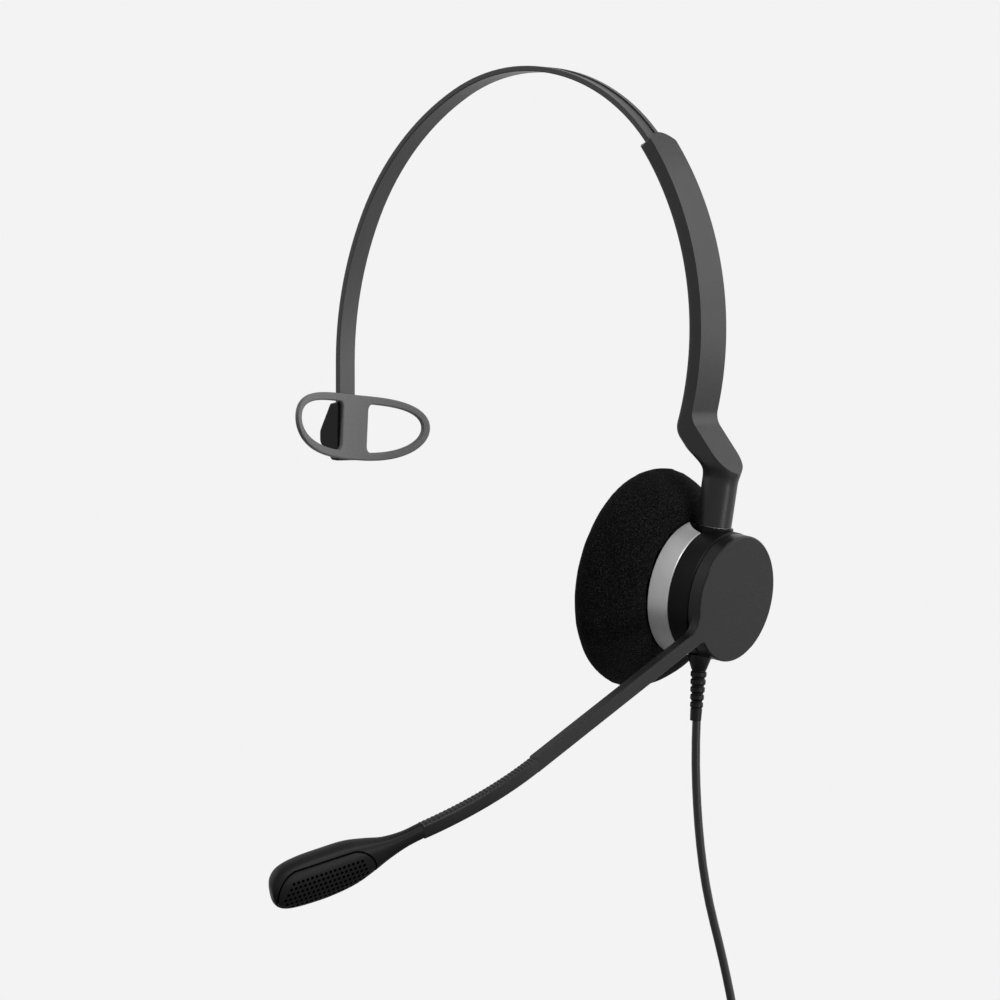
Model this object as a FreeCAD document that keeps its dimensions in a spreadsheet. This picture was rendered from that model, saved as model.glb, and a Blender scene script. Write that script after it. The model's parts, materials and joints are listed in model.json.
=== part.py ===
import FreeCAD, Part
import math
import os
import Sketcher

# Office headset: headband, sliding arm, swivelling speaker cup, turning microphone boom and a pivoting
# head rest. Millimetres. +Z is up, +X is the speaker side, -Y is the front. The origin is the underside
# of the headband's crown.

Vector = FreeCAD.Vector
Rotation = FreeCAD.Rotation
Placement = FreeCAD.Placement

doc = FreeCAD.newDocument("Headset")
sheet = doc.addObject("Spreadsheet::Sheet", "Sizes")

SIZES = {
    # headband: a strip bent in tangent arcs, radii at its inner face, sweeps in degrees from the crown
    "band_width": 7.1,
    "band_thickness": 1.5,
    "crown_radius": 52.5,
    "crown_sweep": 54.5,
    "arm_radius": 83.5,
    "band_insert_sweep": 45.0,
    "far_crown_radius": 48.0,
    "far_crown_sweep": 27.5,
    "shoulder_radius": 71.5,
    "shoulder_sweep": 37.0,
    "leg_radius": 94.5,
    "leg_sweep": 25.5,
    "leg_straight": 16.4,
    "channel_width": 3.4,
    "channel_depth": 0.35,
    "detent_radius": 0.7,
    "detent_depth": 0.5,
    "detent_pitch": 2.75,
    "detent_count": 9,
    # arm that slides on the band
    "arm_width": 11.9,
    "arm_lead": 1.9,
    "arm_sweep": 53.4,
    "arm_outer_wall": 1.5,
    "arm_cover_thickness": 0.75,
    "slide_gap": 0.3,
    "cover_gap": 0.1,
    "mouth_arch_radius": 8.4,
    "arm_edge_round": 0.5,
    # knee and stem
    "knee_out": 6.1,
    "knee_drop": 12.8,
    "knee_slope": 52.5,
    "stem_radius": 4.8,
    "stem_length": 15.8,
    "swivel_pin_radius": 1.9,
    "running_gap": 0.05,
    "fixed_gap": 0.02,
    # speaker cup, worked out from the hub's outer face towards the head
    "cup_tilt": 10.0,
    "stem_depth": 10.9,
    "hub_radius": 17.0,
    "hub_thickness": 3.75,
    "hub_face_wall": 1.4,
    "hub_rim_wall": 1.4,
    "hub_gap": 0.3,
    "drum_radius": 17.2,
    "drum_wall": 1.6,
    "drum_depth": 10.2,
    "collar_rise": 0.3,
    "collar_radius": 5.4,
    "trim_notch_radius": 6.3,
    "collar_core_radius": 3.9,
    "neck_radius": 16.1,
    "neck_wall": 2.2,
    "neck_depth": 18.5,
    "trim_small_radius": 17.3,
    "trim_large_radius": 18.2,
    "trim_depth": 16.4,
    "flange_radius": 20.4,
    "flange_thickness": 1.4,
    "baffle_thickness": 1.2,
    "driver_radius": 13.5,
    "driver_depth": 3.4,
    "magnet_radius": 8.0,
    "magnet_thickness": 2.3,
    "cushion_radius": 30.2,
    "cushion_depth": 34.4,
    "spindle_radius": 3.6,
    # boom
    "boom_droop": 25.4,
    "boom_offset": -2.4,
    "boom_width": 4.2,
    "boom_thickness": 2.5,
    "boom_wall": 0.7,
    "boom_upper_blend": 5.0,
    "boom_lower_blend": 1.5,
    "boom_straight": 89.0,
    "flex_length": 38.8,
    "flex_bend": 20.4,
    "mic_length": 43.2,
    "mic_half_width": 6.5,
    "mic_sag": 1.6,
    "mic_depth": 7.6,
    "mic_wall": 0.9,
    "grille_pitch": 1.27,
    "grille_hole_radius": 0.33,
    # head rest
    "rest_half_length": 29.85,
    "rest_half_height": 9.15,
    "rest_end_radius": 6.7,
    "rest_end_rise": 1.4,
    "rest_rim": 2.3,
    "rest_end_rim": 2.4,
    "rest_bar_half_width": 5.7,
    "rest_thickness": 1.3,
    "rest_bow_radius": 122.0,
    "rest_lean": 3.8,
    "rest_gap": 1.5,
    "rest_pin_radius": 1.0,
    # cord
    "cord_radius": 1.15,
    "relief_length": 17.6,
    "coil_radius": 13.0,
    "coil_bundle_radius": 4.4,
}


class Size(float):
    """A length that remembers the spreadsheet formula it comes from."""

    def __new__(cls, value, formula=None):
        size = super().__new__(cls, value)
        size.formula = formula or repr(float(value))
        return size

    def __add__(self, other):
        return combined(self, "+", other, float(self) + float(other))

    def __sub__(self, other):
        return combined(self, "-", other, float(self) - float(other))

    def __mul__(self, other):
        return combined(self, "*", other, float(self) * float(other))

    def __truediv__(self, other):
        return combined(self, "/", other, float(self) / float(other))

    def __radd__(self, other):
        return combined(other, "+", self, float(other) + float(self))

    def __rsub__(self, other):
        return combined(other, "-", self, float(other) - float(self))

    def __rmul__(self, other):
        return combined(other, "*", self, float(other) * float(self))

    def __neg__(self):
        return Size(-float(self), "(0 - " + self.formula + ")")


def formula_of(value):
    return value.formula if isinstance(value, Size) else repr(float(value))


def combined(left, sign, right, value):
    return Size(value, "(" + formula_of(left) + " " + sign + " " + formula_of(right) + ")")


class Sizes:
    pass


for row, (name, value) in enumerate(SIZES.items(), 1):
    sheet.set("A%d" % row, name)
    sheet.set("B%d" % row, str(value))
    sheet.setAlias("B%d" % row, name)
doc.recompute()
size = Sizes()
for name in SIZES:
    setattr(size, name, Size(sheet.get(name), "Sizes." + name))

pieces = []


# ---------------------------------------------------------------- ways of making a piece

def keep(piece, label, place=None):
    """Names a finished sub-part and puts it in its place."""
    piece.Label = label
    if place is not None:
        piece.Placement = place
    pieces.append(piece)
    return piece


def computed(label, shape, place=None):
    piece = doc.addObject("Part::Feature", label)
    piece.Shape = shape
    return keep(piece, label, place)


def pin_corner(sketch, kind, axis, edge, value):
    """Fixes one coordinate of a sketch edge's start by a formula."""
    if abs(value) < 1e-9:
        sketch.addConstraint(Sketcher.Constraint("PointOnObject", edge, 1, axis))
        return
    index = sketch.addConstraint(Sketcher.Constraint(kind, -1, 1, edge, 1, float(value)))
    sketch.setExpression("Constraints[%d]" % index, formula_of(value))


def outline_sketch(body, plane_role, corners):
    sketch = body.newObject("Sketcher::SketchObject", body.Name + "_outline")
    plane = [item for item in body.Origin.OriginFeatures if item.Role == plane_role][0]
    sketch.AttachmentSupport = [(plane, "")]
    sketch.MapMode = "FlatFace"
    points = [Vector(x, y, 0) for x, y in corners]
    for start, end in zip(points, points[1:] + points[:1]):
        sketch.addGeometry(Part.LineSegment(start, end), False)
    count = len(points)
    for edge in range(count):
        sketch.addConstraint(Sketcher.Constraint("Coincident", edge, 2, (edge + 1) % count, 1))
    for edge, (x, y) in enumerate(corners):
        pin_corner(sketch, "DistanceX", -2, edge, x)
        pin_corner(sketch, "DistanceY", -1, edge, y)
    return sketch


def turned_body(name, corners):
    """A piece turned about its local X axis; corners are (x, radius)."""
    body = doc.addObject("PartDesign::Body", name)
    sketch = outline_sketch(body, "XY_Plane", corners)
    spin = body.newObject("PartDesign::Revolution", name + "_spin")
    spin.Profile = sketch
    spin.ReferenceAxis = (sketch, ["H_Axis"])
    spin.Angle = 360
    return body


def turned(label, corners, place):
    return keep(turned_body(label, corners), label, place)


def cylinder(name, radius, height, base, direction):
    """A Part cylinder whose radius and height follow the sheet."""
    item = doc.addObject("Part::Cylinder", name)
    item.setExpression("Radius", formula_of(radius))
    item.setExpression("Height", formula_of(height))
    item.Placement = Placement(base, Rotation(Vector(0, 0, 1), direction))
    return item


def joined(name, *parts):
    item = doc.addObject("Part::MultiFuse", name)
    item.Shapes = list(parts)
    return item


def cut_away(name, base, *tools):
    tool = tools[0] if len(tools) == 1 else joined(name + "_tools", *tools)
    item = doc.addObject("Part::Cut", name)
    item.Base = base
    item.Tool = tool
    return item


def polar(centre, radius, degrees):
    """A point on the plane Y = 0; degrees count from +X towards +Z."""
    angle = math.radians(degrees)
    return centre + Vector(radius * math.cos(angle), 0, radius * math.sin(angle))


def arc(centre, radius, first, last):
    points = [polar(centre, radius, turn) for turn in (first, (first + last) / 2, last)]
    return Part.Arc(*points).toShape()


def line(start, end):
    return Part.LineSegment(start, end).toShape()


def slab(wire, width):
    """The face inside a wire on the plane Y = 0, thickened evenly to both sides."""
    face = Part.Face(wire)
    face.translate(Vector(0, -width / 2, 0))
    return face.extrude(Vector(0, width, 0))


def sector(centre, inner, outer, high, low, width):
    """A stretch of a curved bar, from polar angle high to low."""
    edges = [
        arc(centre, outer, high, low),
        line(polar(centre, outer, low), polar(centre, inner, low)),
        arc(centre, inner, low, high),
        line(polar(centre, inner, high), polar(centre, outer, high)),
    ]
    return slab(Part.Wire(edges), width)


def side_edges(shape, half_width):
    """The edges that lie in the two side planes Y = +-half_width."""
    found = []
    for edge in shape.Edges:
        heights = [abs(abs(vertex.Y) - half_width) for vertex in edge.Vertexes]
        if max(heights) < 1e-6:
            found.append(edge)
    return found


# ---------------------------------------------------------------- headband

class Chain:
    """Tangent arcs that start level at the crown and turn down one side."""

    def __init__(self, side, radii, sweeps):
        self.side = side
        self.arcs = []
        turned_so_far = 0.0
        centre = Vector(0, 0, -radii[0])
        for index, (radius, sweep) in enumerate(zip(radii, sweeps)):
            if index:
                change = radius - radii[index - 1]
                angle = math.radians(turned_so_far)
                centre = centre - Vector(side * change * math.sin(angle), 0, change * math.cos(angle))
            start = 90 - side * turned_so_far if side > 0 else 90 + turned_so_far
            end = start - side * sweep
            self.arcs.append((Vector(centre), float(radius), start, end))
            turned_so_far += sweep
        self.centre = centre

    def end(self, offset):
        centre, radius, start, end = self.arcs[-1]
        return polar(centre, radius + offset, end)

    def edges(self, offset):
        return [arc(centre, radius + offset, start, end) for centre, radius, start, end in self.arcs]


near = Chain(1, [size.crown_radius, size.arm_radius], [size.crown_sweep, size.band_insert_sweep])
far = Chain(-1, [size.far_crown_radius, size.shoulder_radius, size.leg_radius],
            [size.far_crown_sweep, size.shoulder_sweep, size.leg_sweep])
ARM_CENTRE = near.centre
MOUTH_ANGLE = 90 - size.crown_sweep
BAND_END_ANGLE = MOUTH_ANGLE - size.band_insert_sweep
leg_end_angle = math.radians(far.arcs[-1][3])
LEG_DOWN = Vector(-math.sin(leg_end_angle), 0, math.cos(leg_end_angle))
BAND_EDGE_ROUND = 0.3
FIRST_DETENT = 10.0


def band_strip(low, high, width):
    """The strip between two offsets from the band's inner face."""
    tip_low = far.end(low) + LEG_DOWN * size.leg_straight
    tip_high = far.end(high) + LEG_DOWN * size.leg_straight
    edges = near.edges(high) + far.edges(high) + near.edges(low) + far.edges(low)
    edges += [line(near.end(high), near.end(low)), line(far.end(high), tip_high)]
    edges += [line(tip_high, tip_low), line(tip_low, far.end(low))]
    return slab(Part.Wire(Part.sortEdges(edges)[0]), width)


def make_headband():
    strip = band_strip(0, size.band_thickness, size.band_width)
    strip = strip.makeFillet(BAND_EDGE_ROUND, side_edges(strip, size.band_width / 2))
    channel = band_strip(size.band_thickness - size.channel_depth, size.band_thickness + 1,
                         size.channel_width)
    strip = strip.cut(channel)
    outer = size.arm_radius + size.band_thickness
    floor = outer - size.detent_depth - size.channel_depth
    for index in range(int(size.detent_count)):
        angle = MOUTH_ANGLE - FIRST_DETENT - index * size.detent_pitch
        outward = polar(Vector(), 1, angle)
        dimple = Part.makeCylinder(size.detent_radius, 3, polar(ARM_CENTRE, floor, angle), outward)
        strip = strip.cut(dimple)
    return strip


headband_shape = make_headband()
computed("headband_strip", headband_shape)


# ---------------------------------------------------------------- arm

ARM_INNER = size.arm_radius - size.slide_gap - size.arm_cover_thickness
ARM_CAVITY = size.arm_radius + size.band_thickness + size.slide_gap
ARM_OUTER = ARM_CAVITY + size.arm_outer_wall
ARM_MOUTH_ANGLE = MOUTH_ANGLE + size.arm_lead
ARM_END_ANGLE = ARM_MOUTH_ANGLE - size.arm_sweep
CHANNEL_END_ANGLE = BAND_END_ANGLE - 2.5
COVER_END_ANGLE = ARM_END_ANGLE + 1.0
ARM_CHANNEL_WIDTH = size.band_width + 2 * size.slide_gap
COVER_WIDTH = ARM_CHANNEL_WIDTH + 1.2
SCREW_ANGLE = COVER_END_ANGLE + 1.6
SPRING_HIGH = MOUTH_ANGLE - 8.0
SPRING_LOW = MOUTH_ANGLE - 18.0
SPRING_WIDTH = size.band_width - 1.3
SPRING_THICKNESS = 0.3
PIN_SUNK = 9.0
KNEE_INNER_ROUND = 4.0
KNEE_OUTER_ROUND = 2.5
STEM_BLEND = 2.6
SCREW_HEAD_HEIGHT = 0.55
SCREW_HEAD_RADIUS = 1.3
SCREW_SHAFT_RADIUS = 0.6
SCREW_LENGTH = 3.4
SEAT_CLEARANCE = 0.02
BORE_CLEARANCE = 0.15

tilt = math.radians(size.cup_tilt)
OUTWARD = Vector(math.cos(tilt), 0, -math.sin(tilt))
UPWARD = Vector(math.sin(tilt), 0, math.cos(tilt))
stem_top = polar(ARM_CENTRE, ARM_OUTER, ARM_END_ANGLE) + Vector(size.knee_out, 0, -size.knee_drop)
stem_foot = stem_top - UPWARD * size.stem_length
COLLAR_TOP = size.drum_radius + size.collar_rise
SWIVEL_GAP = 0.35
face_centre = stem_foot - UPWARD * (COLLAR_TOP + SWIVEL_GAP) + OUTWARD * size.stem_depth
CUP = Placement(face_centre, Rotation(Vector(0, 1, 0), size.cup_tilt))
SWIVEL = Placement(stem_foot, Rotation(Vector(0, 1, 0), size.cup_tilt))


def slanted(point, degrees, length):
    """A point further out and down the knee."""
    angle = math.radians(degrees)
    return point + Vector(length * math.cos(angle), 0, -length * math.sin(angle))


KNEE_INNER_START = ARM_END_ANGLE - 3.2
knee_outer = polar(ARM_CENTRE, ARM_OUTER, ARM_END_ANGLE)
knee_inner = polar(ARM_CENTRE, ARM_INNER, KNEE_INNER_START)


def level_crossing(point, degrees):
    """Where the slanted line from a point meets the level of the stem's top."""
    step = slanted(Vector(), degrees, 1.0)
    distance = (stem_top - point).dot(UPWARD) / step.dot(UPWARD)
    return point + step * distance


def arm_outline():
    corners = [knee_outer, level_crossing(knee_outer, size.knee_slope),
               level_crossing(knee_inner, size.knee_slope), knee_inner]
    edges = [arc(ARM_CENTRE, ARM_OUTER, ARM_MOUTH_ANGLE, ARM_END_ANGLE)]
    edges += [line(first, second) for first, second in zip(corners, corners[1:])]
    edges += [arc(ARM_CENTRE, ARM_INNER, KNEE_INNER_START, ARM_MOUTH_ANGLE)]
    edges += [line(polar(ARM_CENTRE, ARM_INNER, ARM_MOUTH_ANGLE),
                   polar(ARM_CENTRE, ARM_OUTER, ARM_MOUTH_ANGLE))]
    return Part.Wire(edges)


def mouth_trimmer():
    """What is cut off the arm's mouth to leave an arched end."""
    outward = polar(Vector(), 1, ARM_MOUTH_ANGLE)
    back = math.degrees(size.mouth_arch_radius / size.arm_radius)
    centre = polar(ARM_CENTRE, ARM_INNER - 3, ARM_MOUTH_ANGLE - back)
    disc = Part.makeCylinder(size.mouth_arch_radius, ARM_OUTER - ARM_INNER + 6, centre, outward)
    block = sector(ARM_CENTRE, ARM_INNER - 2, ARM_OUTER + 2,
                   ARM_MOUTH_ANGLE + 2, ARM_MOUTH_ANGLE - back + 0.5, 30)
    return block.cut(disc)


def edges_along_y(shape, places):
    """The edges parallel to Y that pass near the given places on Y = 0."""
    found = []
    for edge in shape.Edges:
        first, last = edge.Vertexes[0].Point, edge.Vertexes[-1].Point
        if abs(first.y - last.y) > 1:
            flat = Vector(first.x, 0, first.z)
            if any((flat - place).Length < 0.1 for place in places):
                found.append(edge)
    return found


def stem_collar():
    """Blends the arm's flat lower end into the round stem."""
    facing = Rotation(Vector(0, 1, 0), OUTWARD, UPWARD, "XYZ")
    oval = Part.Ellipse(Vector(), size.arm_width / 2, size.stem_radius + 0.1).toShape()
    upper = Part.Wire(oval)
    upper.Placement = Placement(stem_top, facing)
    lower = Part.Wire(Part.makeCircle(size.stem_radius))
    lower.Placement = Placement(stem_top - UPWARD * STEM_BLEND, facing)
    prism = Part.Face(upper).extrude(UPWARD * 20)
    return Part.makeLoft([upper, lower], True), prism


def make_arm_shell():
    collar, prism = stem_collar()
    shell = slab(arm_outline(), size.arm_width)
    shell = shell.makeFillet(KNEE_INNER_ROUND, edges_along_y(shell, [knee_inner]))
    shell = shell.makeFillet(KNEE_OUTER_ROUND, edges_along_y(shell, [knee_outer]))
    outer_half = Part.makeBox(30, 30, 40, Vector(0, -15, -20))
    outer_half.Placement = Placement(stem_top, Rotation(Vector(0, 1, 0), size.cup_tilt))
    shell = shell.cut(outer_half.cut(prism))
    shell = shell.makeFillet(size.arm_edge_round, side_edges(shell, size.arm_width / 2))
    shell = shell.cut(mouth_trimmer())
    stem = Part.makeCylinder(size.stem_radius, size.stem_length + 1.0, stem_foot, UPWARD)
    shell = shell.fuse(stem).fuse(collar)
    channel = sector(ARM_CENTRE, ARM_INNER - 1, ARM_CAVITY,
                     ARM_MOUTH_ANGLE + 3, CHANNEL_END_ANGLE, ARM_CHANNEL_WIDTH)
    seat = sector(ARM_CENTRE, ARM_INNER - 1, ARM_INNER + size.arm_cover_thickness + 0.05,
                  ARM_MOUTH_ANGLE - 2, COVER_END_ANGLE - size.cover_gap, COVER_WIDTH + 2 * size.cover_gap)
    pocket = sector(ARM_CENTRE, ARM_CAVITY - 0.2, ARM_CAVITY + SPRING_THICKNESS + 0.2,
                    SPRING_HIGH + 0.3, SPRING_LOW - 0.3, SPRING_WIDTH + 0.6)
    pin_bore = Part.makeCylinder(size.swivel_pin_radius + size.fixed_gap, PIN_SUNK + 0.1, stem_foot, UPWARD)
    screw_bore = Part.makeCylinder(SCREW_SHAFT_RADIUS + size.fixed_gap, SCREW_LENGTH - 0.2,
                                   polar(ARM_CENTRE, ARM_INNER, SCREW_ANGLE), polar(Vector(), 1, SCREW_ANGLE))
    return shell.cut(channel).cut(seat).cut(pocket).cut(pin_bore).cut(screw_bore).removeSplitter()


computed("arm_shell", make_arm_shell())


def make_arm_cover():
    cover = sector(ARM_CENTRE, ARM_INNER, ARM_INNER + size.arm_cover_thickness,
                   ARM_MOUTH_ANGLE - 2.1, COVER_END_ANGLE, COVER_WIDTH)
    direction = polar(Vector(), 1, SCREW_ANGLE)
    bore = Part.makeCylinder(SCREW_SHAFT_RADIUS + BORE_CLEARANCE, 3,
                             polar(ARM_CENTRE, ARM_INNER - 1, SCREW_ANGLE), direction)
    return cover.cut(bore)


def small_screw(shaft_radius, length, head_radius, head_height):
    """A screw along +X with its head's top at x = 0 and a cross slot."""
    head = Part.makeCylinder(head_radius, head_height, Vector(), Vector(1, 0, 0))
    shaft = Part.makeCylinder(shaft_radius, length - head_height, Vector(head_height, 0, 0), Vector(1, 0, 0))
    arm_length = head_radius * 1.2
    slot_depth = head_height / 2
    slots = []
    for wide, tall in ((arm_length, 0.25), (0.25, arm_length)):
        slots.append(Part.makeBox(slot_depth, wide, tall, Vector(0, -wide / 2, -tall / 2)))
    return head.fuse(shaft).cut(slots[0]).cut(slots[1])


computed("arm_inner_cover", make_arm_cover())
screw_top = polar(ARM_CENTRE, ARM_INNER - SCREW_HEAD_HEIGHT - SEAT_CLEARANCE, SCREW_ANGLE)
screw_place = Placement(screw_top, Rotation(Vector(0, -1, 0), SCREW_ANGLE))
arm_screw = small_screw(SCREW_SHAFT_RADIUS, SCREW_LENGTH, SCREW_HEAD_RADIUS, SCREW_HEAD_HEIGHT)
computed("arm_screw", arm_screw, screw_place)


def make_detent_spring():
    leaf = sector(ARM_CENTRE, ARM_CAVITY + 0.05, ARM_CAVITY + 0.05 + SPRING_THICKNESS,
                  SPRING_HIGH, SPRING_LOW, SPRING_WIDTH)
    middle = (SPRING_HIGH + SPRING_LOW) / 2
    ridge = sector(ARM_CENTRE, ARM_CAVITY - 0.15, ARM_CAVITY + 0.1, middle + 0.4, middle - 0.4, 3.0)
    return leaf.fuse(ridge)


computed("detent_spring", make_detent_spring())


def make_band_end_stop():
    return sector(ARM_CENTRE, size.arm_radius, size.arm_radius + size.band_thickness,
                  BAND_END_ANGLE, BAND_END_ANGLE - 1.1, size.band_width)


computed("band_end_stop", make_band_end_stop())


# ---------------------------------------------------------------- stem swivel

SWIVEL_BORE_RADIUS = size.swivel_pin_radius + 1.0
NECK_INNER = size.neck_radius - size.neck_wall
CORE_FOOT = NECK_INNER - 2.4
PIN_REACH = COLLAR_TOP + SWIVEL_GAP - CORE_FOOT + 1.6
clip_drop = COLLAR_TOP + SWIVEL_GAP - CORE_FOOT + 0.2
down_turn = Placement(Vector(), Rotation(Vector(0, 1, 0), 90))

turned("swivel_pin", [
    (-PIN_SUNK, 0.0),
    (-PIN_SUNK, size.swivel_pin_radius),
    (clip_drop, size.swivel_pin_radius),
    (clip_drop, size.swivel_pin_radius - 0.5),
    (clip_drop + 0.7, size.swivel_pin_radius - 0.5),
    (clip_drop + 0.7, size.swivel_pin_radius),
    (PIN_REACH, size.swivel_pin_radius),
    (PIN_REACH, 0.0),
], SWIVEL * down_turn)

turned("swivel_clip", [
    (clip_drop + 0.05, size.swivel_pin_radius - 0.48),
    (clip_drop + 0.05, size.swivel_pin_radius + 1.4),
    (clip_drop + 0.65, size.swivel_pin_radius + 1.4),
    (clip_drop + 0.65, size.swivel_pin_radius - 0.48),
], SWIVEL * down_turn)

turned("swivel_washer", [
    (0.0, size.swivel_pin_radius + 0.1),
    (0.0, size.stem_radius - 0.6),
    (0.25, size.stem_radius - 0.6),
    (0.25, size.swivel_pin_radius + 0.1),
], SWIVEL * down_turn)

turned("swivel_bushing", [
    (SWIVEL_GAP, size.swivel_pin_radius + size.running_gap),
    (SWIVEL_GAP, SWIVEL_BORE_RADIUS - size.fixed_gap),
    (clip_drop, SWIVEL_BORE_RADIUS - size.fixed_gap),
    (clip_drop, size.swivel_pin_radius + size.running_gap),
], SWIVEL * down_turn)


# ---------------------------------------------------------------- speaker cup

DRUM_BACK = size.hub_thickness + size.hub_gap
DRUM_FLOOR = DRUM_BACK + size.drum_wall
RELIEF_DEPTH = 7.1
RELIEF_FORWARD = 3.2
RELIEF_SINK = size.drum_radius - 0.8
RELIEF_LEAN = 4.5
RELIEF_GROOVE_RADIUS = 2.2
RELIEF_GROOVE_TOP = 1.3
RELIEF_GROOVE_FOOT = -1.15
RELIEF_FLANGE_RADIUS = 2.6
RELIEF_FLANGE_HEIGHT = 0.7
COLLAR_BASE = size.drum_radius - 3.2
DRUM_RING_FRONT = size.drum_depth - 1.5
relief_root = CUP.multVec(Vector(-RELIEF_DEPTH, -RELIEF_FORWARD, -RELIEF_SINK))
RELIEF = Placement(relief_root, Rotation(Vector(0, 1, 0), RELIEF_LEAN))
UP_AXIS = Vector(0, 0, 1)

FLANGE_BACK = size.neck_depth + 0.05
FLANGE_FRONT = FLANGE_BACK + size.flange_thickness
SCREW_CIRCLE = size.neck_radius - size.neck_wall / 2
FLANGE_SCREW_RADIUS = 0.55
FLANGE_SCREW_LENGTH = 3.6
FLANGE_SCREW_HEAD_RADIUS = 1.05
FLANGE_SCREW_HEAD_HEIGHT = 0.65
FLANGE_SCREW_SPOTS = []
for turn in (150, 270, 390):
    across = SCREW_CIRCLE * math.cos(math.radians(turn))
    FLANGE_SCREW_SPOTS.append(Vector(-FLANGE_FRONT, across, SCREW_CIRCLE * math.sin(math.radians(turn))))

housing_shell = turned_body("ear_housing_shell", [
    (-DRUM_BACK, size.spindle_radius + size.running_gap),
    (-DRUM_BACK, size.drum_radius - 0.3),
    (-DRUM_BACK - 0.3, size.drum_radius),
    (-size.drum_depth, size.drum_radius),
    (-size.drum_depth, size.neck_radius),
    (-size.neck_depth, size.neck_radius),
    (-size.neck_depth, NECK_INNER),
    (-DRUM_RING_FRONT, NECK_INNER),
    (-DRUM_RING_FRONT, size.drum_radius - size.drum_wall),
    (-DRUM_FLOOR, size.drum_radius - size.drum_wall),
    (-DRUM_FLOOR, size.spindle_radius + size.running_gap),
])
collar_base = Vector(-size.stem_depth, 0, COLLAR_BASE)
collar_core_base = Vector(-size.stem_depth, 0, CORE_FOOT)
collar_cap = cylinder("collar_cap", size.collar_radius, COLLAR_TOP - COLLAR_BASE, collar_base, UP_AXIS)
collar_core = cylinder("collar_core", size.collar_core_radius, COLLAR_TOP - CORE_FOOT,
                       collar_core_base, UP_AXIS)
swivel_bore = cylinder("swivel_bore", SWIVEL_BORE_RADIUS, Size(12.0),
                       Vector(-size.stem_depth, 0, CORE_FOOT - 1.5), UP_AXIS)
relief_axis = CUP.inverse().Rotation.multVec(RELIEF.Rotation.multVec(UP_AXIS))
relief_in_cup = Vector(-RELIEF_DEPTH, -RELIEF_FORWARD, -RELIEF_SINK)
relief_bore = cylinder("relief_bore", Size(RELIEF_GROOVE_RADIUS + 0.05), Size(6.0),
                       relief_in_cup - relief_axis * 2.5, relief_axis)
relief_pocket = cylinder("relief_pocket", Size(RELIEF_FLANGE_RADIUS + 0.1), Size(2.0),
                         relief_in_cup + relief_axis * (RELIEF_GROOVE_TOP - 0.05), relief_axis)
housing_tools = [swivel_bore, relief_bore, relief_pocket]
for index, spot in enumerate(FLANGE_SCREW_SPOTS):
    housing_tools.append(cylinder("flange_thread_%s" % "abc"[index], Size(FLANGE_SCREW_RADIUS + 0.05),
                                  Size(FLANGE_SCREW_LENGTH), spot, Vector(1, 0, 0)))
housing = cut_away("ear_housing", joined("ear_housing_body", housing_shell, collar_cap, collar_core),
                   *housing_tools)
keep(housing, "ear_housing", CUP)

trim_blank = turned_body("trim_ring_blank", [
    (-size.drum_depth - 0.25, size.neck_radius + 0.1),
    (-size.drum_depth - 0.25, size.trim_small_radius - 0.2),
    (-size.drum_depth - 0.45, size.trim_small_radius),
    (-size.trim_depth + 0.3, size.trim_large_radius),
    (-size.trim_depth, size.trim_large_radius - 0.3),
    (-size.trim_depth, size.neck_radius + 0.1),
])
trim_notch = cylinder("trim_notch", size.trim_notch_radius, size.trim_large_radius + 2,
                      Vector(-size.stem_depth, 0, 0), UP_AXIS)
keep(cut_away("trim_ring", trim_blank, trim_notch), "trim_ring", CUP)

BAFFLE_BACK = FLANGE_FRONT + 0.1
BAFFLE_FRONT = BAFFLE_BACK + size.baffle_thickness
DRIVER_FRONT = BAFFLE_BACK - 0.05
DRIVER_BACK = DRIVER_FRONT - size.driver_depth

flange_blank = turned_body("cushion_flange_blank", [
    (-FLANGE_BACK, size.driver_radius + 0.2),
    (-FLANGE_BACK, size.flange_radius),
    (-FLANGE_FRONT, size.flange_radius),
    (-FLANGE_FRONT, size.driver_radius + 0.2),
])
flange_bores = []
for index, spot in enumerate(FLANGE_SCREW_SPOTS):
    flange_bores.append(cylinder("flange_bore_%s" % "abc"[index], Size(FLANGE_SCREW_RADIUS + BORE_CLEARANCE),
                                 size.flange_thickness + 1, spot - Vector(0.5, 0, 0), Vector(1, 0, 0)))
    flange_bores.append(cylinder("flange_sink_%s" % "abc"[index], Size(FLANGE_SCREW_HEAD_RADIUS + 0.1),
                                 Size(FLANGE_SCREW_HEAD_HEIGHT + 0.1), spot, Vector(1, 0, 0)))
keep(cut_away("cushion_flange", flange_blank, *flange_bores), "cushion_flange", CUP)


def make_flange_screws():
    screws = []
    for spot in FLANGE_SCREW_SPOTS:
        screw = small_screw(FLANGE_SCREW_RADIUS, FLANGE_SCREW_LENGTH - 0.2,
                            FLANGE_SCREW_HEAD_RADIUS, FLANGE_SCREW_HEAD_HEIGHT)
        screw.translate(spot + Vector(SEAT_CLEARANCE, 0, 0))
        screws.append(screw)
    return Part.makeCompound(screws)


computed("flange_screws", make_flange_screws(), CUP)


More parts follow.
